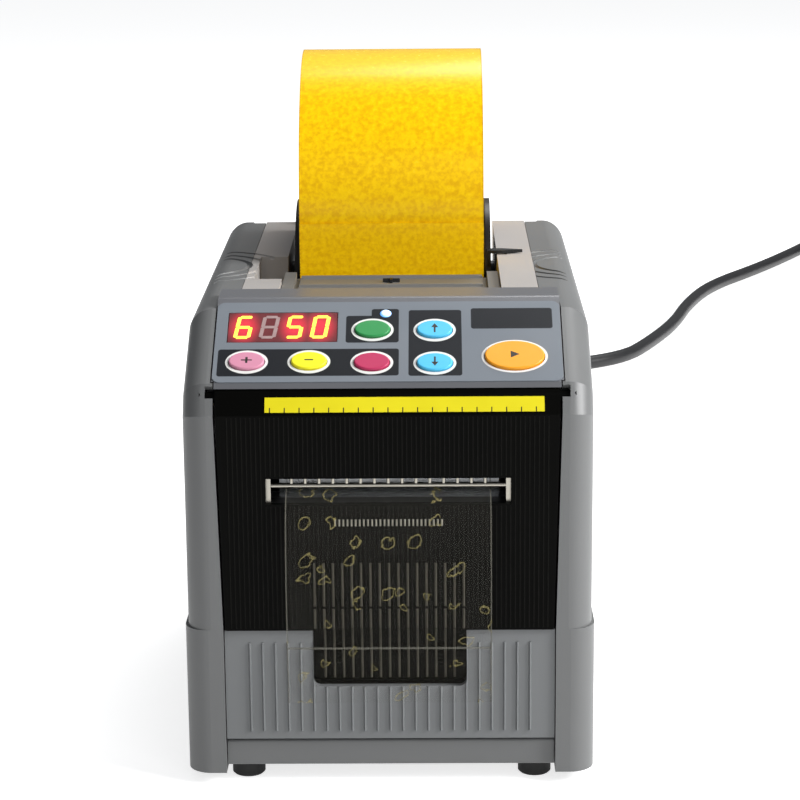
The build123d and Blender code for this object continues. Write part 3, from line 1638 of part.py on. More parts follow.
nodes = {
    "base_pan": base_pan,
    "left_shell": shell_left,
    "right_shell": lambda: mirrored(shell_left()),
    "top_deck": top_deck,
    "control_housing": control_housing,
    "front_plate": front_plate,
    "grip_tongue": grip_tongue,
    "rear_cover": rear_cover,
    "front_cover": front_cover,
    "yellow_stripe": yellow_stripe,
    "chute_insert": chute_insert,
    "exit_comb": exit_comb,
    "rubber_feet": rubber_feet,
    "case_screws": case_screws,
    "keypad_overlay": keypad_overlay,
    "display_window": display_window,
    "keypad_board": keypad_board,
    "frame_left": frame_left,
    "frame_right": frame_right,
    "bearings": bearings,
    "feed_roller": feed_roller,
    "feed_rings": feed_rings,
    "feed_gear": feed_gear,
    "idler_gear": idler_gear,
    "motor_pinion": motor_pinion,
    "feed_motor": feed_motor,
    "pinch_arm": pinch_arm,
    "pinch_roller": pinch_roller,
    "cam_shaft": cam_shaft,
    "cutter_motor": cutter_motor,
    "cutter_pinion": cutter_pinion,
    "cutter_bed": cutter_bed,
    "lower_blade": lower_blade,
    "blade_slide": blade_slide,
    "upper_blade": upper_blade,
    "return_springs": return_springs,
    "guide_plate": guide_plate,
    "front_support": lambda: support(support_front),
    "rear_support": lambda: support(support_rear),
    "guide_disc_left": lambda: guide_disc(-1),
    "guide_disc_right": lambda: guide_disc(1),
    "tape_roll": tape_roll,
    "roll_core": roll_core,
    "tape_web": tape_web,
    "tape_strip": tape_strip,
    "transformer": transformer,
    "main_board": main_board,
    "power_switch": power_switch,
    "power_rocker": power_rocker,
    "cord_gland": cord_gland,
    "cord": cord,
    "cord_coil": cord_coil,
    "plug": plug,
}
for key in key_places:
    nodes[key] = lambda key=key: key_cap(key)

os.makedirs("parts", exist_ok=True)
for name, make in nodes.items():
    export_step(make(), f"parts/{name}.step")
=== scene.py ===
# %% [markdown]
# # An electric dispenser for wide packing tape
#
# The machine stands on a counter. It feeds a set length of tape through a slot in its dark front cover
# and cuts it. The engineering model comes ready made, as named solids in one frame. This lesson gives
# those solids their finishes, adds the printed panel, the lit digits and the small mouldings, and sets up
# a studio like the picture's.

import math

import bpy
from mathutils import Matrix, Vector


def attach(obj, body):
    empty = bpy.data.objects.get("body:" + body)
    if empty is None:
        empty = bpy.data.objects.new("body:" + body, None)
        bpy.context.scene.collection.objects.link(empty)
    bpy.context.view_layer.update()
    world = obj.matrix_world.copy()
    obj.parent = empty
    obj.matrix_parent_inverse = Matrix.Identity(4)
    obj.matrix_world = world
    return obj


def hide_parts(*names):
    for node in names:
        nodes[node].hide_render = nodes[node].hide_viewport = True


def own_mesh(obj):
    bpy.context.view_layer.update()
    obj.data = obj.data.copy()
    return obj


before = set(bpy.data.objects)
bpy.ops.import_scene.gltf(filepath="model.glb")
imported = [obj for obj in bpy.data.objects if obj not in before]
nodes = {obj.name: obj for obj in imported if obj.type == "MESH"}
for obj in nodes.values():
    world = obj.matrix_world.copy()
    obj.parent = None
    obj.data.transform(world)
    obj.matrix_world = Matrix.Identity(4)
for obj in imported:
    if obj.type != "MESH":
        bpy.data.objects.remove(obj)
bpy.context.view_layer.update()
MM = 0.001

# %% [markdown]
# ## The camera
#
# The picture was taken from a little above and almost straight in front, with a long lens. The place, the
# lens and the three angles come from the casing's corners: their places in the picture fix where the
# camera must have stood. A long lens keeps the casing's sides almost parallel, which a wide lens close by
# couldn't do.

# %% Camera
IMAGE_SIDE = 800
FOCAL_PIXELS = 2500.0
SENSOR = 36.0
camera_data = bpy.data.cameras.new("picture_camera")
camera_data.sensor_width = SENSOR
camera_data.lens = FOCAL_PIXELS / IMAGE_SIDE * SENSOR
camera = bpy.data.objects.new("picture_camera", camera_data)
bpy.context.scene.collection.objects.link(camera)
bpy.context.scene.camera = camera
pitch_down, turn_left, lean = (math.radians(a) for a in (13.79, 0.79, 0.51))
camera.matrix_world = (
    Matrix.Translation((0.01556, -0.92677, 0.33889))
    @ Matrix.Rotation(turn_left, 4, "Z")
    @ Matrix.Rotation(math.pi / 2 - pitch_down, 4, "X")
    @ Matrix.Rotation(-lean, 4, "Z")
)
print("lens", round(camera_data.lens, 1), "mm")

# %% [markdown]
# ## Shader maths
#
# A finish is a small sum: some noise here, a stripe there, mixed into a colour. Written as nodes by hand
# that gets long, so one class wraps a node's output and lets plain Python expressions add the Math nodes.
# Every other node comes from one method, which takes the node's type, its settings and the values or
# links of its sockets.


# %% A socket that can be calculated with
class Value:
    """An output of a node, which + - * / and a few functions turn into further nodes."""

    def __init__(self, finish, socket):
        self.finish = finish
        self.socket = socket

    def _math(self, operation, *others):
        inputs = {0: self}
        for i, other in enumerate(others, 1):
            inputs[i] = other
        return self.finish.node("ShaderNodeMath", {"operation": operation}, inputs)

    def __add__(self, other):
        return self._math("ADD", other)

    __radd__ = __add__

    def __mul__(self, other):
        return self._math("MULTIPLY", other)

    __rmul__ = __mul__

    def __sub__(self, other):
        return self._math("SUBTRACT", other)

    def __rsub__(self, other):
        return self._math("MULTIPLY", -1.0)._math("ADD", other)

    def __truediv__(self, other):
        return self._math("DIVIDE", other)

    def below(self, edge):
        """1 where the value is under the edge, else 0."""
        return self._math("LESS_THAN", edge)

    def above(self, edge):
        """1 where the value is over the edge, else 0."""
        return self._math("GREATER_THAN", edge)

    def size(self):
        return self._math("ABSOLUTE")

    def power(self, exponent):
        return self._math("POWER", exponent)

    def root(self):
        return self._math("SQRT")

    def wave(self):
        return self._math("SINE")

    def rest(self, step):
        """What is left over after whole steps, always from 0 to the step."""
        return self._math("FLOORED_MODULO", step)

    def larger(self, other):
        return self._math("MAXIMUM", other)

    def step(self, low, high):
        """A smooth rise from 0 at low to 1 at high."""
        settings = {"interpolation_type": "SMOOTHSTEP"}
        inputs = {"Value": self, "From Min": low, "From Max": high}
        return self.finish.node("ShaderNodeMapRange", settings, inputs)


# %% A finish, with its one node method
class Finish:
    """A material in the making."""

    def __init__(self, name):
        self.material = bpy.data.materials.new(name)
        self.material.use_nodes = True
        self.tree = self.material.node_tree
        self.shader = next(n for n in self.tree.nodes if n.type == "BSDF_PRINCIPLED")
        self.place = self.node("ShaderNodeTexCoord", {}, {}, "Object")
        split = self.node("ShaderNodeSeparateXYZ", {}, {0: self.place}, None)
        self.x, self.y, self.z = (Value(self, split.outputs[i]) for i in range(3))

    def node(self, kind, settings, inputs, output=0):
        """Adds a node: first its settings, then the values or links of its sockets.

        It gives back the named output as a value, or the node itself where the output is None.
        """
        made = self.tree.nodes.new(kind)
        for name, value in settings.items():
            setattr(made, name, value)
        for name, value in inputs.items():
            self.link(value, made.inputs[name])
        if output is None:
            return made
        return Value(self, made.outputs[output])

    def link(self, value, socket):
        """Sets a socket to a number or colour, or links it to a value."""
        if isinstance(value, Value):
            self.tree.links.new(value.socket, socket)
        elif isinstance(value, tuple) and len(value) == 3 and socket.type == "RGBA":
            socket.default_value = (*value, 1)
        else:
            socket.default_value = value

    def noise(self, scale, detail=2.0, rough=0.5):
        """Cloudy noise, from 0 to 1, at a scale in lumps for each metre."""
        inputs = {"Vector": self.place, "Scale": scale, "Detail": detail, "Roughness": rough}
        return self.node("ShaderNodeTexNoise", {}, inputs)

    def mix(self, share, low, high):
        """A colour between two colours. The node's colour sockets are 6 and 7, and their output is 2."""
        made = self.node("ShaderNodeMix", {"data_type": "RGBA"}, {}, None)
        self.link(share, made.inputs[0])
        self.link(low, made.inputs[6])
        self.link(high, made.inputs[7])
        return Value(self, made.outputs[2])

    def bump(self, height, distance, strength):
        """A normal that follows a height, which is a share of the distance in metres."""
        return self.node("ShaderNodeBump", {}, {"Height": height, "Distance": distance, "Strength": strength})

    def set(self, **values):
        """Sets the shader's sockets by their names, with _ for a space, and gives back the material."""
        for name, value in values.items():
            self.link(value, self.shader.inputs[name.replace("_", " ")])
        return self.material


FINE_GRAIN = 0.00002


def linear(red, green, blue):
    """A colour as it reads on a screen, from 0 to 255, turned into the light values that shaders use."""
    parts = []
    for c in (red, green, blue):
        c = c / 255
        parts.append(c / 12.92 if c <= 0.04045 else ((c + 0.055) / 1.055) ** 2.4)
    return tuple(parts)


# %% [markdown]
# ## The floor and the light
#
# The picture is a cut-out shot on pure white. A large pale floor gives the machine something to stand on
# and catches its soft shadow, and it shows white to the camera and in reflections through its own glow,
# never through more light on the machine. Three large soft lamps give the plastic broad and gentle
# highlights.

# %% Floor and world
FLOOR_SIDE = 16
FLOOR_MIDDLE = (0, 2.5, 0)
FLOOR_GLOW = 0.74
WORLD_TINT = (0.93, 0.96, 1.0, 1)
WORLD_STRENGTH = 0.23
bpy.ops.mesh.primitive_plane_add(size=FLOOR_SIDE, location=FLOOR_MIDDLE)
floor = bpy.context.object
floor.name = "floor"
pale = Finish("floor_pale")
ray = pale.node("ShaderNodeLightPath", {}, {}, None)
seen = Value(pale, ray.outputs["Is Camera Ray"]).larger(Value(pale, ray.outputs["Is Glossy Ray"]))
seen = seen.larger(Value(pale, ray.outputs["Is Transmission Ray"]))
pale.set(Base_Color=(0.80, 0.80, 0.80), Roughness=0.9, Specular_IOR_Level=0.0,
         Emission_Color=(1.0, 1.0, 1.0), Emission_Strength=seen * FLOOR_GLOW)
floor.data.materials.append(pale.material)

world = bpy.data.worlds.new("studio")
bpy.context.scene.world = world
world.use_nodes = True
world_tree = world.node_tree
background = world_tree.nodes["Background"]
plain = world_tree.nodes.new("ShaderNodeBackground")
plain.inputs["Color"].default_value = (1.0, 1.0, 1.0, 1)
plain.inputs["Strength"].default_value = 1.0
background.inputs["Color"].default_value = WORLD_TINT
background.inputs["Strength"].default_value = WORLD_STRENGTH
world_ray = world_tree.nodes.new("ShaderNodeLightPath")
world_mix = world_tree.nodes.new("ShaderNodeMixShader")
world_tree.links.new(world_ray.outputs["Is Camera Ray"], world_mix.inputs[0])
world_tree.links.new(background.outputs[0], world_mix.inputs[1])
world_tree.links.new(plain.outputs[0], world_mix.inputs[2])
world_tree.links.new(world_mix.outputs[0], world_tree.nodes["World Output"].inputs[0])


# %% Lamps
def soft_lamp(name, place, target, side, power):
    """A large square lamp that faces a target."""
    data = bpy.data.lights.new(name, "AREA")
    data.size = side
    data.energy = power
    lamp = bpy.data.objects.new(name, data)
    bpy.context.scene.collection.objects.link(lamp)
    lamp.location = place
    lamp.rotation_euler = (Vector(target) - Vector(place)).to_track_quat("-Z", "Y").to_euler()


# Each lamp has its place, the height on the machine that it faces, its side in metres and its watts.
lamps = {
    "key_lamp": ((1.3, -0.5, 1.0), 0.1, 0.7, 36),
    "fill_lamp": ((0.6, -1.6, 0.9), 0.1, 1.0, 4),
    "rear_lamp": ((0.4, 0.9, 1.5), 0.12, 0.8, 15),
}
for name, (place, height, side, power) in lamps.items():
    soft_lamp(name, place, (0, 0, height), side, power)
bpy.context.scene.view_settings.view_transform = "Standard"
print("lamps", list(lamps))

# %% [markdown]
# ## The mains cord
#
# A soft lead lies where its weight puts it: out of the rear cover, down to the counter, behind the
# machine and off to the right. What the picture doesn't show is put away in a round coil, just outside
# the view. A smooth spline with few points bends as a real lead does, while points copied from a tube
# would look like bent wire. Blender widens a curve's box by its points' radius, so that radius is the
# lead's own, and the bevel is a whole metre that it scales.

# %% The cord's line
CORD_RADIUS = 4.0
cord_route = [
    (40, 122, 26),
    (40, 152, 26),
    (42, 205, 4),
    (44, 262, 4),
    (40, 330, 4),
    (40, 398, 4),
    (54, 463, 4),
    (86, 517, 4),
    (130, 541, 4),
    (150, 585, 4),
    (170, 640, 4),
    (184, 700, 4),
    (206, 762, 4),
    (244, 820, 4),
]
COIL_CENTRE = (360.0, 940.0)
COIL_TURN = math.radians(-27)
OUTER_TURN = 46
INNER_TURN = 37
CROSSING_TURN = 28
LAST_TURN = 61
LAYER_LOW = 4
LAYER_HIGH = 12.5
RUN_IN = 92
RUN_OUT = 9
TURN_STEPS = 8


def in_coil(x, y, z):
    """A place in the coil's own frame, put on the counter."""
    c, s = math.cos(COIL_TURN), math.sin(COIL_TURN)
    return (COIL_CENTRE[0] + x * c - y * s, COIL_CENTRE[1] + x * s + y * c, z)


def half_turn(x0, x1, z0, z1, side):
    """The points of half a turn of the coil, from one side to the other."""
    middle = (x0 + x1) / 2
    reach = abs(x1 - x0) / 2 / math.cos(math.pi / 2 / TURN_STEPS)
    points = []
    for k in range(TURN_STEPS):
        share = (k + 0.5) / TURN_STEPS
        a = math.pi * share
        x = middle + math.copysign(1, x0 - x1) * reach * math.cos(a)
        rise = share * share * (3 - 2 * share)
        points.append(in_coil(x, side * reach * math.sin(a), z0 + (z1 - z0) * rise))
    return points


# Each half turn runs from one side to the other and from one height to the other, round the far or near end.
half_turns = (
    (-OUTER_TURN, OUTER_TURN, LAYER_LOW, LAYER_LOW, 1),
    (OUTER_TURN, -INNER_TURN, LAYER_LOW, LAYER_LOW, -1),
    (-INNER_TURN, INNER_TURN, LAYER_LOW, LAYER_LOW, 1),
    (INNER_TURN, -CROSSING_TURN, LAYER_LOW, LAYER_HIGH, -1),
    (-CROSSING_TURN, OUTER_TURN, LAYER_HIGH, LAYER_HIGH, 1),
    (OUTER_TURN, -LAST_TURN, LAYER_HIGH, LAYER_HIGH, -1),
)
coil_points = [in_coil(-OUTER_TURN, -RUN_IN, LAYER_LOW)]
for ends in half_turns:
    coil_points += half_turn(*ends)
coil_points.append(in_coil(-LAST_TURN, RUN_OUT, LAYER_HIGH))

cord_curve = bpy.data.curves.new("mains_cord", "CURVE")
cord_curve.dimensions = "3D"
spline = cord_curve.splines.new("NURBS")
cord_points = cord_route + coil_points
spline.points.add(len(cord_points) - 1)
for point, place in zip(spline.points, cord_points):
    point.co = (*(c * MM for c in place), 1)
    point.radius = CORD_RADIUS * MM
spline.order_u = 3
spline.use_endpoint_u = True
spline.resolution_u = 6
mains_cord = bpy.data.objects.new("mains_cord", cord_curve)
bpy.context.scene.collection.objects.link(mains_cord)
bare_line = bpy.data.meshes.new_from_object(mains_cord)
line_points = [v.co.copy() for v in bare_line.vertices]
cord_curve.bevel_depth = 1.0
cord_curve.bevel_resolution = 5
cord_curve.use_fill_caps = True
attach(mains_cord, "casing")
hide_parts("cord", "cord_coil")


# %% The sleeve that keeps the cord from kinking at the cover
def swept(name, places, radii):
    """A round tube with its own radius at each place, as a mesh."""
    curve = bpy.data.curves.new(name, "CURVE")
    curve.dimensions = "3D"
    run = curve.splines.new("POLY")
    run.points.add(len(places) - 1)
    for point, place, radius in zip(run.points, places, radii):
        point.co = (*place, 1)
        point.radius = radius
    curve.bevel_depth = MM
    curve.bevel_resolution = 6
    curve.use_fill_caps = True
    tube = bpy.data.objects.new(name, curve)
    bpy.context.scene.collection.objects.link(tube)
    bpy.ops.object.select_all(action="DESELECT")
    bpy.context.view_layer.objects.active = tube
    tube.select_set(True)
    bpy.ops.object.convert(target="MESH")
    return bpy.context.object


SLEEVE_LENGTH = 30
SLEEVE_RADIUS = 6.0
SLEEVE_TAPER = 1.5
SLEEVE_STEP = 0.7
GROOVES_FROM = 5
GROOVES_TO = 27
GROOVE_PITCH = 4.4
GROOVE_WIDTH = 1.6
GROOVE_DEPTH = 0.55
sleeve_places = []
sleeve_radii = []
gone = 0.0
for a, b in zip(line_points, line_points[1:]):
    parts = max(1, round((b - a).length / (SLEEVE_STEP * MM)))
    for k in range(parts):
        at = (gone + (b - a).length * k / parts) / MM
        if at > SLEEVE_LENGTH:
            break
        in_groove = GROOVES_FROM < at < GROOVES_TO and at % GROOVE_PITCH < GROOVE_WIDTH
        groove = GROOVE_DEPTH if in_groove else 0.0
        sleeve_places.append(a.lerp(b, k / parts))
        sleeve_radii.append(SLEEVE_RADIUS - SLEEVE_TAPER * at / SLEEVE_LENGTH - groove)
    gone += (b - a).length
sleeve = swept("cord_sleeve", sleeve_places, sleeve_radii)
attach(sleeve, "casing")

# %% The tie round the coil's turns
TIE_REACH = 4.6
TIE_RADIUS = 0.7
TIE_LIFT = 0.1
TIE_STEPS = 48
tied_turns = ((OUTER_TURN, LAYER_LOW), (OUTER_TURN, LAYER_HIGH), (INNER_TURN, LAYER_LOW))
tie_places = []
for k in range(TIE_STEPS + 1):
    a = 2 * math.pi * k / TIE_STEPS
    x, z = max(tied_turns, key=lambda turn: turn[0] * math.cos(a) + turn[1] * math.sin(a))
    height = max(z + TIE_REACH * math.sin(a), TIE_RADIUS + TIE_LIFT)
    place = in_coil(x + TIE_REACH * math.cos(a), 0, height)
    tie_places.append(tuple(c * MM for c in place))
cord_tie = swept("cord_tie", tie_places, [TIE_RADIUS] * len(tie_places))
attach(cord_tie, "casing")

# %% [markdown]
# ## Moulded plastic
#
# The casing is injection moulded and lightly textured: a grey with a little unevenness, a satin shine and
# a very fine grain. The grain is a bump, so that it catches the light without changing the outline.


# %% Plastics
MOULD_GRAIN = 0.00004
UNEVEN = 0.06


def moulded(name, colour, rough=0.42):
    """A satin plastic with a fine grain and slightly uneven colour."""
    finish = Finish(name)
    base = linear(*colour)
    dark = tuple(c * (1 - UNEVEN) for c in base)
    pale_tone = tuple(min(1.0, c * (1 + UNEVEN)) for c in base)
    cloud = finish.noise(28.0, 3.0)
    tone = finish.mix(cloud, dark, pale_tone)
    grit = finish.noise(2600.0, 1.0)
    return finish.set(Base_Color=tone, Roughness=cloud * 0.10 + (rough - 0.05),
                      Normal=finish.bump(grit, MOULD_GRAIN, 0.6))


def dress(material, *names):
    """Gives a finish to CAD nodes."""
    for name in names:
        slots = nodes[name].data.materials
        slots.clear()
        slots.append(material)


grey = moulded("casing_grey", (106, 107, 107))
dress(grey, "left_shell", "right_shell", "base_pan", "rear_cover")
dress(moulded("front_plate_grey", (116, 118, 119), 0.46), "front_plate")
# The top deck's grey is painted lighter than the casing's: painted light, for the strong light that falls on
# it from above.
dress(moulded("deck_grey_painted_light", (170, 166, 163), 0.45), "top_deck")
dress(moulded("guide_grey", (112, 110, 106), 0.45), "guide_plate")
dress(moulded("hood_grey", (96, 97, 101), 0.36), "control_housing")
dress(moulded("black_satin", (14, 14, 15), 0.38), "chute_insert", "guide_disc_left", "guide_disc_right",
      "power_switch", "power_rocker", "cord_gland")
dress(moulded("white_nylon", (226, 224, 214), 0.5), "feed_gear", "idler_gear", "cam_shaft", "front_support",
      "rear_support", "pinch_roller")
dress(moulded("roller_grey", (188, 188, 184), 0.4), "feed_roller")

# %% [markdown]
# ## Rubber, metal and card
#
# The parts behind the covers are seen when the cover is lifted or from above. Each gets what it is made
# of: turned brass, zinc-plated sheet with faint brushing, ground steel, soft rubber, wound card.


# %% Metals and rubber
BRUSH_STRETCH = 0.04


def metal(name, colour, rough, brushed=900.0, along=0):
    """A metal with fine brushing along one axis: the noise is stretched along it."""
    finish = Finish(name)
    stretch = [1.0, 1.0, 1.0]
    stretch[along] = BRUSH_STRETCH
    held = finish.node("ShaderNodeMapping", {}, {"Vector": finish.place, "Scale": tuple(stretch)})
    lines = finish.node("ShaderNodeTexNoise", {}, {"Vector": held, "Scale": brushed, "Detail": 2.0})
    base = linear(*colour)
    tone = finish.mix(lines, tuple(c * 0.86 for c in base), base)
    return finish.set(Base_Color=tone, Metallic=1.0, Roughness=lines * 0.12 + rough,
                      Normal=finish.bump(lines, FINE_GRAIN, 0.5))


dress(metal("zinc_sheet", (176, 178, 180), 0.34, along=2), "frame_left", "frame_right", "pinch_arm",
      "blade_slide", "cutter_bed", "case_screws")
dress(metal("ground_steel", (196, 198, 200), 0.22), "lower_blade", "upper_blade", "return_springs",
      "transformer", "feed_motor", "cutter_motor")
dress(metal("bright_bar", (168, 164, 154), 0.24, 300.0), "exit_comb")
dress(metal("turned_brass", (196, 160, 92), 0.28), "bearings", "motor_pinion", "cutter_pinion")

rubber = Finish("soft_rubber")
rub = rubber.noise(900.0, 2.0)
rubber.set(Base_Color=rubber.mix(rub, linear(16, 16, 16), linear(30, 30, 30)),
           Roughness=rub * 0.15 + 0.65, Normal=rubber.bump(rub, 0.00006, 0.5))
dress(rubber.material, "rubber_feet", "feed_rings")

lead = Finish("lead_sheath")
sheath = lead.noise(420.0, 2.0)
lead.set(Base_Color=lead.mix(sheath, linear(20, 20, 21), linear(38, 38, 40)),
         Roughness=sheath * 0.12 + 0.36, Normal=lead.bump(sheath, 0.00008, 0.4))
cord_curve.materials.append(lead.material)
sleeve.data.materials.append(lead.material)
cord_tie.data.materials.append(lead.material)
dress(lead.material, "plug")

card = Finish("wound_card")
turns = (card.x * 2600.0).wave() * 0.5 + 0.5
fibre = card.noise(700.0, 4.0)
card.set(Base_Color=card.mix(fibre, linear(150, 112, 70), linear(196, 160, 112)), Roughness=0.85,
         Normal=card.bump(turns * 0.3 + fibre, 0.00012, 0.6))
dress(card.material, "roll_core")

board = Finish("circuit_board")
tracks = board.noise(160.0, 1.0)
on_track = tracks.above(0.55)
board.set(Base_Color=board.mix(on_track, linear(18, 84, 48), linear(36, 118, 70)),
          Roughness=0.32, Coat_Weight=on_track * 0.4, Normal=board.bump(on_track, 0.00003, 0.5))
dress(board.material, "main_board", "keypad_board")

# %% [markdown]
# ## The printed panel
#
# The panel is one sheet of film, printed from behind: a blue-grey ground, black fields with round corners
# and a white ring about each key. A picture could carry that print, but a drawing made of sums stays
# sharp at any size. Each field is a distance to a rounded box, and each ring an ellipse, in the panel's
# own two directions.

# %% The panel's own directions
PANEL_TILT = math.radians(30)
PANEL_ORIGIN = (0.0, -0.104, 0.143)
on_panel = Matrix.Translation(PANEL_ORIGIN) @ Matrix.Rotation(PANEL_TILT, 4, "X")
BLACK_FIELD = linear(31, 33, 37)
RING_WHITE = linear(236, 236, 232)


def panel_axes(finish):
    """How far across and up the panel a point lies, in millimetres."""
    up = (finish.y - PANEL_ORIGIN[1]) * (math.cos(PANEL_TILT) / MM)
    up = up + (finish.z - PANEL_ORIGIN[2]) * (math.sin(PANEL_TILT) / MM)
    return finish.x * (1 / MM), up


def field(across, up, left, right, low, high, corner=1.0, soft=0.12):
    """1 inside a rectangle with round corners."""
    side = (across - (left + right) / 2).size() - ((right - left) / 2 - corner)
    rise = (up - (low + high) / 2).size() - ((high - low) / 2 - corner)
    distance = (side.larger(0.0).power(2.0) + rise.larger(0.0).power(2.0)).root() - corner
    return distance.step(soft, -soft)


def oval(across, up, centre, half_width, half_height):
    """1 inside an ellipse."""
    side = (across - centre[0]).size() / half_width
    rise = (up - centre[1]).size() / half_height
    return (side.power(2.0) + rise.power(2.0)).root().step(1.02, 0.98)


# %% The film
SMALL_RING = (7.3, 5.8)
START_RING = (11.3, 8.2)
# Each black field has its left, right, lower and upper edge in millimetres.
black_fields = (
    (-14.6, 3.7, 19.7, 33.5),
    (-5.8, 3.7, 19.7, 37.0),
    (-58.2, 3.8, 3.1, 16.6),
    (7.1, 25.4, 2.9, 36.3),
    (28.7, 56.9, 26.5, 37.1),
)
key_places = {
    "key_feed": (-5.4, 26.2),
    "key_plus": (-48.2, 10.2),
    "key_minus": (-26.9, 10.2),
    "key_cut": (-5.4, 9.6),
    "key_up": (16.1, 25.9),
    "key_down": (16.1, 9.2),
    "key_start": (43.4, 12.4),
}
film = Finish("panel_film")
across, up = panel_axes(film)
black = field(across, up, *black_fields[0])
for edges in black_fields[1:]:
    black = black.larger(field(across, up, *edges))
rings = oval(across, up, key_places["key_start"], *START_RING)
for key, centre in key_places.items():
    if key != "key_start":
        rings = rings.larger(oval(across, up, centre, *SMALL_RING))
shade = film.noise(30.0, 2.0)
ground = film.mix(shade, linear(112, 119, 127), linear(126, 131, 137))
ground = film.mix(black, ground, BLACK_FIELD)
film.set(Base_Color=film.mix(rings, ground, RING_WHITE), Roughness=shade * 0.08 + 0.28,
         Specular_IOR_Level=0.15, Normal=film.bump(film.noise(2200.0, 1.0), FINE_GRAIN, 0.4))
dress(film.material, "keypad_overlay")
print("panel film with", len(key_places), "rings")

# %% [markdown]
# ## The keys
#
# Each key is a domed oval in its own bright colour. Some bear a plain sign: plus, minus, an arrow up or
# down and a small triangle on the largest. A sign is a sum of the same kind as the fields, so it stays
# with its key.


# %% Signs and caps
PLUS_ACROSS = (1.9, 0.3)
PLUS_UP = (0.4, 1.5)
MINUS = (1.5, 0.3)
SHAFT = (0.32, 1.5)
SHAFT_DROP = 0.7
HEAD_FOOT = 0.4
HEAD_HALF = 1.5
HEAD_SLOPE = 0.62
TRIANGLE_BACK = 1.4
TRIANGLE_HALF = 1.7
TRIANGLE_SLOPE = 0.55


def bar(across, up, centre, half_width, half_height):
    """1 inside a small upright rectangle."""
    left, right = centre[0] - half_width, centre[0] + half_width
    return field(across, up, left, right, centre[1] - half_height, centre[1] + half_height, 0.1, 0.08)


def arrow(across, up, centre, way):
    """1 inside an arrow that points up where way is 1, and down where it is -1."""
    rise = (up - centre[1]) * way
    side = (across - centre[0]).size()
    head = rise.above(HEAD_FOOT) * (side - (rise * -HEAD_SLOPE + HEAD_HALF)).below(0.0)
    return head.larger(bar(across, up, (centre[0], centre[1] - way * SHAFT_DROP), *SHAFT))


def sign(name, across, up, centre):
    """The mark on a key, or nothing."""
    if name == "key_plus":
        return bar(across, up, centre, *PLUS_ACROSS).larger(bar(across, up, centre, *PLUS_UP))
    if name == "key_minus":
        return bar(across, up, centre, *MINUS)
    if name in ("key_up", "key_down"):
        return arrow(across, up, centre, 1 if name == "key_up" else -1)
    if name == "key_start":
        run = across - (centre[0] - TRIANGLE_BACK)
        inside = run.above(0.0)
        spread = (up - centre[1]).size()
        return inside * (spread - (run * -TRIANGLE_SLOPE + TRIANGLE_HALF)).below(0.0)
    return None


key_colours = {
    "key_feed": (43, 147, 77),
    "key_plus": (216, 143, 169),
    "key_minus": (250, 240, 27),
    "key_cut": (190, 44, 92),
    "key_up": (81, 195, 240),
    "key_down": (81, 195, 240),
    "key_start": (251, 164, 25),
}
for key, colour in key_colours.items():
    cap = Finish(f"{key}_print")
    across, up = panel_axes(cap)
    cloud = cap.noise(120.0, 2.0)
    base = linear(*colour)
    tone = cap.mix(cloud, tuple(c * 0.93 for c in base), base)
    mark = sign(key, across, up, key_places[key])
    if mark is not None:
        tone = cap.mix(mark, tone, linear(40, 34, 30))
    cap.set(Base_Color=tone, Roughness=cloud * 0.08 + 0.30,
            Normal=cap.bump(cap.noise(2000.0, 1.0), FINE_GRAIN, 0.4))
    dress(cap.material, key)
print("keys", len(key_colours))

# %% [markdown]
# ## The lit digits
#
# Behind the red window stand four digits of seven bars each. One is dark, and the others glow. A bar is
# drawn once: a circle of six corners pulled apart into a long hexagon and given a thickness. Every bar on
# the display is a copy of it, set in its place, and the whole digit leans a little to the right.


# %% Helpers for modelling by hand
def pick(piece, test):
    """Enters edit mode with only those points selected that pass the test."""
    bpy.ops.object.select_all(action="DESELECT")
    bpy.context.view_layer.objects.active = piece
    piece.select_set(True)
    bpy.ops.object.mode_set(mode="EDIT")
    bpy.ops.mesh.select_mode(type="VERT")
    bpy.ops.mesh.select_all(action="DESELECT")
    bpy.ops.object.mode_set(mode="OBJECT")
    for vertex in piece.data.vertices:
        vertex.select = test(vertex.co)
    bpy.ops.object.mode_set(mode="EDIT")


def repeated(name, template, places):
    """One piece made of copies of a template, each with its own mesh, at the given places."""
    copies = []
    for place in places:
        copy = template.copy()
        copy.data = template.data.copy()
        copy.data.transform(place)
        bpy.context.scene.collection.objects.link(copy)
        copies.append(copy)
    bpy.ops.object.select_all(action="DESELECT")
    for copy in copies:
        copy.select_set(True)
    bpy.context.view_layer.objects.active = copies[0]
    bpy.ops.object.join()
    copies[0].name = name
    print(name, len(places), "copies,", len(copies[0].data.polygons), "faces")
    return copies[0]


def scaled(x, y, z):
    return Matrix.Diagonal((x, y, z, 1))


# %% One bar of a digit
BAR_HALF = 0.75
BAR_PULL = 1.9
BAR_THICK = 0.12
bpy.ops.object.select_all(action="DESELECT")
bpy.ops.mesh.primitive_circle_add(vertices=6, radius=BAR_HALF * MM, fill_type="NGON")
bar_piece = bpy.context.object
for way in (1, -1):
    pick(bar_piece, lambda co, way=way: co.y * way > 0)
    bpy.ops.transform.translate(value=(0, way * BAR_PULL * MM, 0))
    bpy.ops.object.mode_set(mode="OBJECT")
pick(bar_piece, lambda co: True)
bpy.ops.mesh.extrude_region_move(TRANSFORM_OT_translate={"value": (0, 0, BAR_THICK * MM)})
bpy.ops.mesh.select_all(action="SELECT")
bpy.ops.mesh.normals_make_consistent(inside=False)
bpy.ops.object.mode_set(mode="OBJECT")

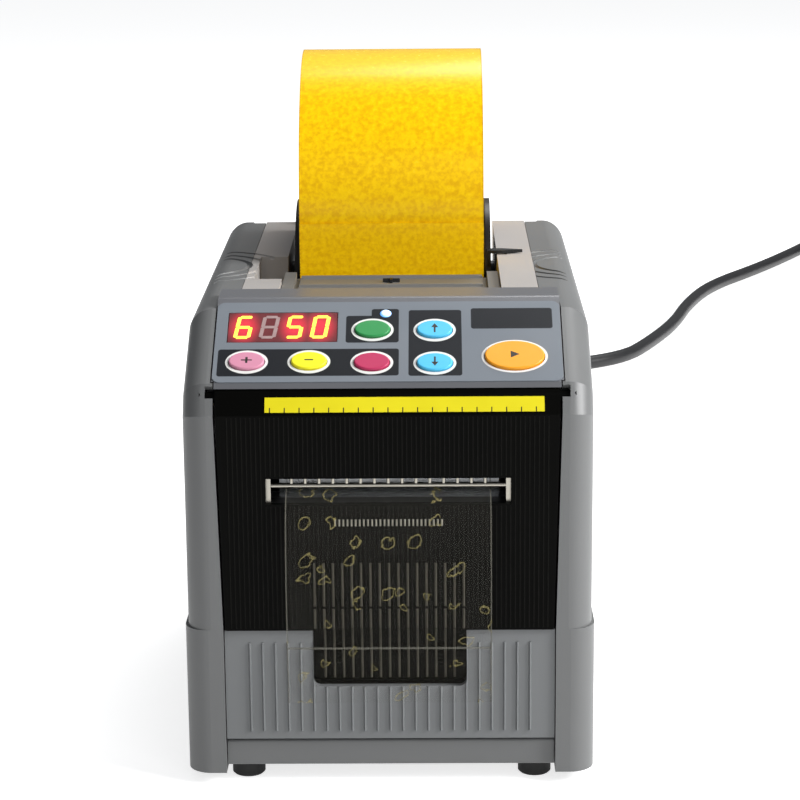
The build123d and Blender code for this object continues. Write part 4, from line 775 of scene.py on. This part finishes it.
# %% Four digits
DIGIT_X = (-49.9, -41.1, -32.3, -23.5)
DIGIT_W = 27.8
DIGIT_LIFT = 0.42
DIGIT_HALF_WIDTH = 2.3
DIGIT_HALF_HEIGHT = 5.2
BAR_HEIGHT = 2.6
LYING_SHARE = 0.78
LEAN = 0.12
upright = Matrix.Identity(4)
lying = Matrix.Rotation(math.pi / 2, 4, "Z") @ scaled(1, LYING_SHARE, 1)
bar_seats = {
    "top": (0, DIGIT_HALF_HEIGHT, lying),
    "middle": (0, 0, lying),
    "bottom": (0, -DIGIT_HALF_HEIGHT, lying),
    "right_high": (DIGIT_HALF_WIDTH, BAR_HEIGHT, upright),
    "right_low": (DIGIT_HALF_WIDTH, -BAR_HEIGHT, upright),
    "left_high": (-DIGIT_HALF_WIDTH, BAR_HEIGHT, upright),
    "left_low": (-DIGIT_HALF_WIDTH, -BAR_HEIGHT, upright),
}
zero = set(bar_seats) - {"middle"}
five = {"top", "middle", "bottom", "left_high", "right_low"}
six = five | {"left_low"}
slant = Matrix.Identity(4)
slant[0][1] = LEAN
# A digit with no lit bars shows all seven as dark ones, and a lit digit shows only its lit bars.
nothing = set()
lit_places = []
dark_places = []
for centre, lit in zip(DIGIT_X, (six, nothing, five, zero)):
    for seat, (x, w, turn) in bar_seats.items():
        shift = Matrix.Translation((x * MM, w * MM, 0))
        spot = Matrix.Translation((centre * MM, DIGIT_W * MM, DIGIT_LIFT * MM))
        place = on_panel @ spot @ slant @ shift @ turn
        if seat in lit:
            lit_places.append(place)
        elif not lit:
            dark_places.append(place)
digits_lit = repeated("digits_lit", bar_piece, lit_places)
digits_dark = repeated("digits_dark", bar_piece, dark_places)
bpy.data.objects.remove(bar_piece)
for piece in (digits_lit, digits_dark):
    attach(piece, "casing")

# %% Glow of the digits and of the window
glow = Finish("digit_glow")
flicker = glow.noise(700.0, 1.0)
glow.set(Base_Color=linear(255, 214, 60), Roughness=0.4, Emission_Strength=1.0,
         Emission_Color=glow.mix(flicker, linear(255, 206, 40), linear(255, 236, 110)))
digits_lit.data.materials.append(glow.material)
unlit = Finish("digit_unlit")
dust = unlit.noise(500.0)
unlit.set(Base_Color=unlit.mix(dust, linear(150, 118, 118), linear(176, 150, 148)), Roughness=0.4)
digits_dark.data.materials.append(unlit.material)

HALO_HALF_WIDTH = 5.6
HALO_HALF_HEIGHT = 8.4
window = Finish("display_red")
across, up = panel_axes(window)
near = None
for centre in (DIGIT_X[0], DIGIT_X[2], DIGIT_X[3]):
    side = ((across - centre) / HALO_HALF_WIDTH).power(2.0)
    rise = ((up - DIGIT_W) / HALO_HALF_HEIGHT).power(2.0)
    part = (side + rise).root().step(1.25, 0.2)
    near = part if near is None else near.larger(part)
haze = window.noise(260.0, 2.0)
window.set(Base_Color=window.mix(haze, linear(70, 20, 24), linear(104, 40, 44)), Roughness=0.22,
           Emission_Strength=0.9, Emission_Color=window.mix(near, linear(76, 40, 42), linear(250, 58, 76)))
dress(window.material, "display_window")

# %% [markdown]
# ## The small lamp
#
# A clear dome stands above the green key and shines blue-white. It is half a ball with a flat rim drawn
# out below, as a pressed-in lens has.

# %% The lamp's dome
LAMP_PLACE = (-0.9, 34.6)
LAMP_RADIUS = 1.7
LAMP_LIFT = 0.38
LAMP_HEIGHT_SHARE = 0.55
RIM_SHARE = 1.18
JUST_OVER = 0.0001
bpy.ops.object.select_all(action="DESELECT")
bpy.ops.mesh.primitive_uv_sphere_add(segments=32, ring_count=16, radius=LAMP_RADIUS * MM)
lamp_dome = bpy.context.object
lamp_dome.name = "lamp_dome"
pick(lamp_dome, lambda co: True)
bpy.ops.mesh.bisect(plane_co=(0, 0, JUST_OVER * MM), plane_no=(0, 0, 1), use_fill=True, clear_inner=True)
bpy.ops.mesh.normals_make_consistent(inside=False)
bpy.ops.object.mode_set(mode="OBJECT")
pick(lamp_dome, lambda co: co.z < 0.01 * MM)
bpy.ops.transform.resize(value=(RIM_SHARE, RIM_SHARE, 1.0))
bpy.ops.object.mode_set(mode="OBJECT")
lamp_seat = Matrix.Translation((LAMP_PLACE[0] * MM, LAMP_PLACE[1] * MM, LAMP_LIFT * MM))
lamp_seat = lamp_seat @ scaled(1, 1, LAMP_HEIGHT_SHARE)
lamp_dome.data.transform(on_panel @ lamp_seat)
lamp_dome.data.shade_smooth()
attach(lamp_dome, "casing")
shine = Finish("lamp_shine")
across, up = panel_axes(shine)
off = ((across - LAMP_PLACE[0]).power(2.0) + (up - LAMP_PLACE[1]).power(2.0)).root()
shine.set(Base_Color=linear(200, 230, 255), Roughness=0.2, Emission_Strength=1.0,
          Emission_Color=shine.mix(off.step(0.8, 1.9), linear(240, 250, 255), linear(30, 150, 250)))
lamp_dome.data.materials.append(shine.material)
print("lamp", len(lamp_dome.data.polygons), "faces")

# %% [markdown]
# ## The smoked cover
#
# The cover is black smoked plastic with fine upright ribs all over its face. The ribs are real forms, so
# that they also show when the cover stands open. One rib is modelled, a block pulled narrower at its
# outer edge, and every rib is a copy stretched to its length. The tape slides past a row of short teeth
# and a bay of broader ribs.

# %% One rib
COVER_FACE = -0.110
TONGUE_FACE = -0.1063
RIB_EDGE_SHARE = 0.45
RIB_ROUND_SHARE = 0.08
RIB_SUNK = 0.05
bpy.ops.object.select_all(action="DESELECT")
bpy.ops.mesh.primitive_cube_add(size=1)
rib = bpy.context.object
pick(rib, lambda co: co.y < 0)
bpy.ops.transform.resize(value=(RIB_EDGE_SHARE, 1, 1))
bpy.ops.object.mode_set(mode="OBJECT")
pick(rib, lambda co: co.y < 0)
bpy.ops.mesh.bevel(offset=RIB_ROUND_SHARE, segments=2, affect="EDGES")
bpy.ops.object.mode_set(mode="OBJECT")


def rib_at(x, face, low, high, width, proud):
    """Where a rib goes that stands on a face and is sunk a little into it."""
    middle = Matrix.Translation((x * MM, face + (RIB_SUNK - proud) / 2 * MM, (low + high) / 2 * MM))
    return middle @ scaled(width * MM, (proud + RIB_SUNK) * MM, (high - low) * MM)


# %% Fine ribs, teeth and bay
FINE_PITCH = 1.6
FINE_HALF_COUNT = 34
FINE_RIB = (0.55, 0.14)
SLOT_HALF = 42.4
SLOT_LOW, SLOT_HIGH = 101.2, 111.8
COVER_LOW, COVER_HIGH = 57.6, 132.4
whole = [(COVER_LOW, COVER_HIGH)]
broken = [(COVER_LOW, SLOT_LOW), (SLOT_HIGH, COVER_HIGH)]
fine = []
for k in range(-FINE_HALF_COUNT, FINE_HALF_COUNT + 1):
    x = k * FINE_PITCH
    for low, high in whole if abs(x) > SLOT_HALF else broken:
        fine.append(rib_at(x, COVER_FACE, low, high, *FINE_RIB))
cover_ribs = repeated("cover_ribs", rib, fine)

TOOTH_PITCH = 1.4
TOOTH_COUNT = 27
TOOTH_LOW, TOOTH_HIGH = 94.3, 96.6
TOOTH = (0.7, 0.45)
first_tooth = -TOOTH_PITCH * (TOOTH_COUNT - 1) / 2
teeth = []
for k in range(TOOTH_COUNT):
    teeth.append(rib_at(first_tooth + k * TOOTH_PITCH, COVER_FACE, TOOTH_LOW, TOOTH_HIGH, *TOOTH))
tick_row = repeated("tick_row", rib, teeth)

BAY_PITCH = 3.2
BAY_HALF_COUNT = 8
BAY_WIDTH = 0.8
# Each run of the bay's ribs has its lower and upper end and how far it stands proud.
bay_runs = ((57.6, 64.6, 0.7), (65.6, 81.0, 0.5))
tongue_run = (38.5, 56.0, BAY_WIDTH, 0.5)
bay_x = [k * BAY_PITCH for k in range(-BAY_HALF_COUNT, BAY_HALF_COUNT + 1)]
bay = []
for x in bay_x:
    for low, high, proud in bay_runs:
        bay.append(rib_at(x, COVER_FACE, low, high, BAY_WIDTH, proud))
bay_ribs = repeated("bay_ribs", rib, bay)
tongue = [rib_at(x, TONGUE_FACE, *tongue_run) for x in bay_x[1:-1]]
tongue_ribs = repeated("tongue_ribs", rib, tongue)
for piece in (cover_ribs, tick_row, bay_ribs):
    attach(piece, "cover")
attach(tongue_ribs, "casing")

# %% [markdown]
# ## The guide between the roll and the panel
#
# A flat guide with low bars across it lies behind the panel, and a small black cross marks its middle, to
# set the tape straight by. The rib of the cover serves again, laid on its side.

# %% Guide bars and centre mark
GUIDE_TOP = 158.0
GUIDE_HALF = 34.6
GUIDE_SUNK = 0.4
BAR_Y = (-34.0, -24.0, -13.5, 3.0)
BAR_SIZE = (2 * GUIDE_HALF - 1, 3.4, 1.3)
MARK_Y = -5.0
MARK_STROKES = ((6.4, 1.3, 1.7), (1.0, 8.0, 1.7))
laid = Matrix.Rotation(-math.pi / 2, 4, "X") @ Matrix.Rotation(math.pi / 2, 4, "Y")


def laid_at(y, length, width, proud):
    """Where a rib goes that lies across the guide."""
    middle = Matrix.Translation((0, y * MM, (GUIDE_TOP + (proud - GUIDE_SUNK) / 2) * MM))
    return middle @ scaled(length * MM, width * MM, (proud + GUIDE_SUNK) * MM) @ laid


guide_bars = repeated("guide_bars", rib, [laid_at(y, *BAR_SIZE) for y in BAR_Y])
SHEET_FRONT, SHEET_REAR = -41.8, 5.2
SHEET_LOW, SHEET_HIGH = 157.3, 158.3
SHEET_ROUND = 0.3
bpy.ops.object.select_all(action="DESELECT")
bpy.ops.mesh.primitive_cube_add(size=1)
guide_sheet = bpy.context.object
guide_sheet.name = "guide_sheet"
sheet_y, sheet_z = (SHEET_FRONT + SHEET_REAR) / 2, (SHEET_LOW + SHEET_HIGH) / 2
sheet_size = scaled(2 * GUIDE_HALF * MM, (SHEET_REAR - SHEET_FRONT) * MM, (SHEET_HIGH - SHEET_LOW) * MM)
guide_sheet.data.transform(Matrix.Translation((0, sheet_y * MM, sheet_z * MM)) @ sheet_size)
pick(guide_sheet, lambda co: True)
bpy.ops.mesh.bevel(offset=SHEET_ROUND * MM, segments=2, affect="EDGES")
bpy.ops.object.mode_set(mode="OBJECT")
centre_mark = repeated("centre_mark", rib, [laid_at(MARK_Y, *stroke) for stroke in MARK_STROKES])
bpy.data.objects.remove(rib)
for piece in (guide_bars, guide_sheet, centre_mark):
    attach(piece, "casing")
for piece in (guide_bars, guide_sheet):
    piece.data.materials.append(nodes["guide_plate"].data.materials[0])
centre_mark.data.materials.append(nodes["power_switch"].data.materials[0])

# %% Cover finishes
smoked = Finish("smoked_black")
cloud = smoked.noise(40.0, 2.0)
smoked.set(Base_Color=smoked.mix(cloud, linear(5, 5, 4), linear(10, 10, 9)),
           Roughness=cloud * 0.10 + 0.26, Specular_IOR_Level=0.03,
           Normal=smoked.bump(smoked.noise(1800.0, 1.0), FINE_GRAIN, 0.4))
dress(smoked.material, "front_cover", "grip_tongue")


def rib_painted_sheen(name, colour, level):
    """Ribbed plastic painted lighter than the smoked cover it belongs to, a painted sheen, with random grain.
    """
    finish = Finish(name)
    grain = finish.noise(300.0, 2.0)
    low = linear(*colour)
    return finish.set(Base_Color=finish.mix(grain, tuple(c * 0.5 for c in low), low),
                      Roughness=grain * 0.1 + 0.28, Specular_IOR_Level=level)


# The fine ribs are painted a little lighter than the smoked cover: a painted sheen.
cover_ribs.data.materials.append(rib_painted_sheen("fine_rib_black_painted_sheen", (20, 20, 18), 0.05))
# The teeth are painted pale: a painted highlight on the black cover.
tick_row.data.materials.append(rib_painted_sheen("tooth_painted_highlight", (168, 164, 150), 0.2))
# The bay and tongue ribs are painted grey on black plastic: a painted sheen where they catch the light.
for piece in (bay_ribs, tongue_ribs):
    piece.data.materials.append(rib_painted_sheen("bay_rib_painted_sheen", (84, 80, 70), 0.15))

TICK_PITCH = 5.0
TICK_WIDTH = 0.4
TICK_TOP = 135.6
stripe = Finish("yellow_film")
shade = stripe.noise(60.0, 2.0)
tick = (stripe.x * (1 / MM)).rest(TICK_PITCH).below(TICK_WIDTH)
tick = tick * (stripe.z * (1 / MM)).below(TICK_TOP)
yellow = stripe.mix(shade, linear(218, 204, 8), linear(236, 222, 14))
stripe.set(Base_Color=stripe.mix(tick, yellow, linear(46, 44, 20)), Roughness=shade * 0.08 + 0.34)
dress(stripe.material, "yellow_stripe")

# %% [markdown]
# ## The tape
#
# On the roll hundreds of clear layers add up to a deep amber, mottled where air lies between them, with
# fine circles on the sides where the edges show, and a painted highlight that makes the top paler. A single
# layer is nearly clear. It shows by its cut edges and a crease, drawn as bright, partly opaque lines that
# are painted highlights, and by small air bubbles, drawn here as uneven rings about scattered points: real
# bubbles whose pale rims are painted highlights.

# %% The roll and its run to the rollers
ROLL_AXIS = (0.065, 0.183)
ROLL_HALF = 0.0346
TOP_HIGHLIGHT_FROM, TOP_HIGHLIGHT_TO = 0.222, 0.238
LAYER_WAVES = 15000.0


def amber(name, low, high, pale):
    """The colour of many layers, mottled, with wound sides and a painted highlight that makes the top paler.
    """
    finish = Finish(name)
    blots = finish.noise(520.0, 3.0, 0.6)
    tone = finish.mix(blots.step(0.30, 0.66), linear(*low), linear(*high))
    # Painted highlight: above a set height the roll and the web turn paler, where light falls on their top.
    tone = finish.mix(finish.z.step(TOP_HIGHLIGHT_FROM, TOP_HIGHLIGHT_TO) * 0.6, tone, linear(*pale))
    reach = ((finish.y - ROLL_AXIS[0]).power(2.0) + (finish.z - ROLL_AXIS[1]).power(2.0)).root()
    side = finish.x.size().above(ROLL_HALF)
    turns = (reach * LAYER_WAVES).wave() * 0.5 + 0.5
    tone = finish.mix(side * turns * 0.35, tone, linear(150, 96, 8))
    height = blots * 0.4 + side * turns
    return finish.set(Base_Color=tone, Roughness=blots * 0.14 + 0.18, Specular_IOR_Level=0.22,
                      Normal=finish.bump(height, 0.00008, 0.5))


# The last colour of each is the painted highlight on the top.
dress(amber("wound_amber", (236, 178, 2), (255, 208, 4), (255, 210, 60)), "tape_roll")
dress(amber("run_amber", (236, 178, 2), (255, 206, 6), (255, 214, 84)), "tape_web")

# %% The clear strip
STRIP_HALF = 35.0
CREASE_Z = 53.0
EDGE_INSET = 0.35
BUBBLE_CELLS = 112.0
BUBBLE_WOBBLE = (0.007, 0.005)
strip = Finish("clear_strip")
across_mm, high_mm = strip.x * (1 / MM), strip.z * (1 / MM)
wobble = strip.noise(260.0, 2.0) - 0.5
bent_x, bent_z = strip.x + wobble * BUBBLE_WOBBLE[0], strip.z + wobble * BUBBLE_WOBBLE[1]
flat = strip.node("ShaderNodeCombineXYZ", {}, {0: bent_x, 1: bent_z, 2: 0.0})
cell_inputs = {"Vector": flat, "Scale": BUBBLE_CELLS}
cells = strip.node("ShaderNodeTexVoronoi", {"voronoi_dimensions": "2D"}, cell_inputs, None)
distance, chance = Value(strip, cells.outputs["Distance"]), Value(strip, cells.outputs["Color"])
lot = strip.node("ShaderNodeSeparateColor", {}, {0: chance})
# Real air bubbles, drawn as rings whose pale colour and opacity are a painted highlight.
bubble_rim_highlight = (distance - (lot * 0.16 + 0.06)).size().step(0.034, 0.008) * lot.above(0.42)
# The cut edges and the crease are painted highlights: bands where the clear strip turns partly opaque.
edge = (across_mm.size() - (STRIP_HALF - EDGE_INSET)).step(-0.15, 0.15)
crease_highlight = (high_mm - CREASE_Z).size().step(0.55, 0.15)
# The strip's opacity comes from the bubble rims and the painted edge and crease highlights.
seen = (bubble_rim_highlight * 0.34).larger(edge * 0.42).larger(crease_highlight * 0.42)
strip.set(Base_Color=strip.mix(bubble_rim_highlight, linear(120, 118, 108), linear(170, 158, 100)),
          Roughness=bubble_rim_highlight * 0.2 + 0.3, Specular_IOR_Level=0.1, Alpha=seen + 0.03)
dress(strip.material, "tape_strip")

# %% [markdown]
# ## The lift springs
#
# Two coil springs on the guide posts lift the blade back after a cut. One end stays and the other
# comes down 8 mm. A copy of their coils, with its doubled points merged, takes their place and rides
# on the casing.

# %% Springs copied onto the casing
lift_springs = bpy.data.objects.new("lift_springs", nodes["return_springs"].data.copy())
bpy.context.scene.collection.objects.link(lift_springs)
pick(lift_springs, lambda co: True)
bpy.ops.mesh.remove_doubles(threshold=0.001 * MM)
bpy.ops.object.mode_set(mode="OBJECT")
lift_springs.data.shade_smooth()
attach(lift_springs, "casing")
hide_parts("return_springs")
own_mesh(lift_springs)
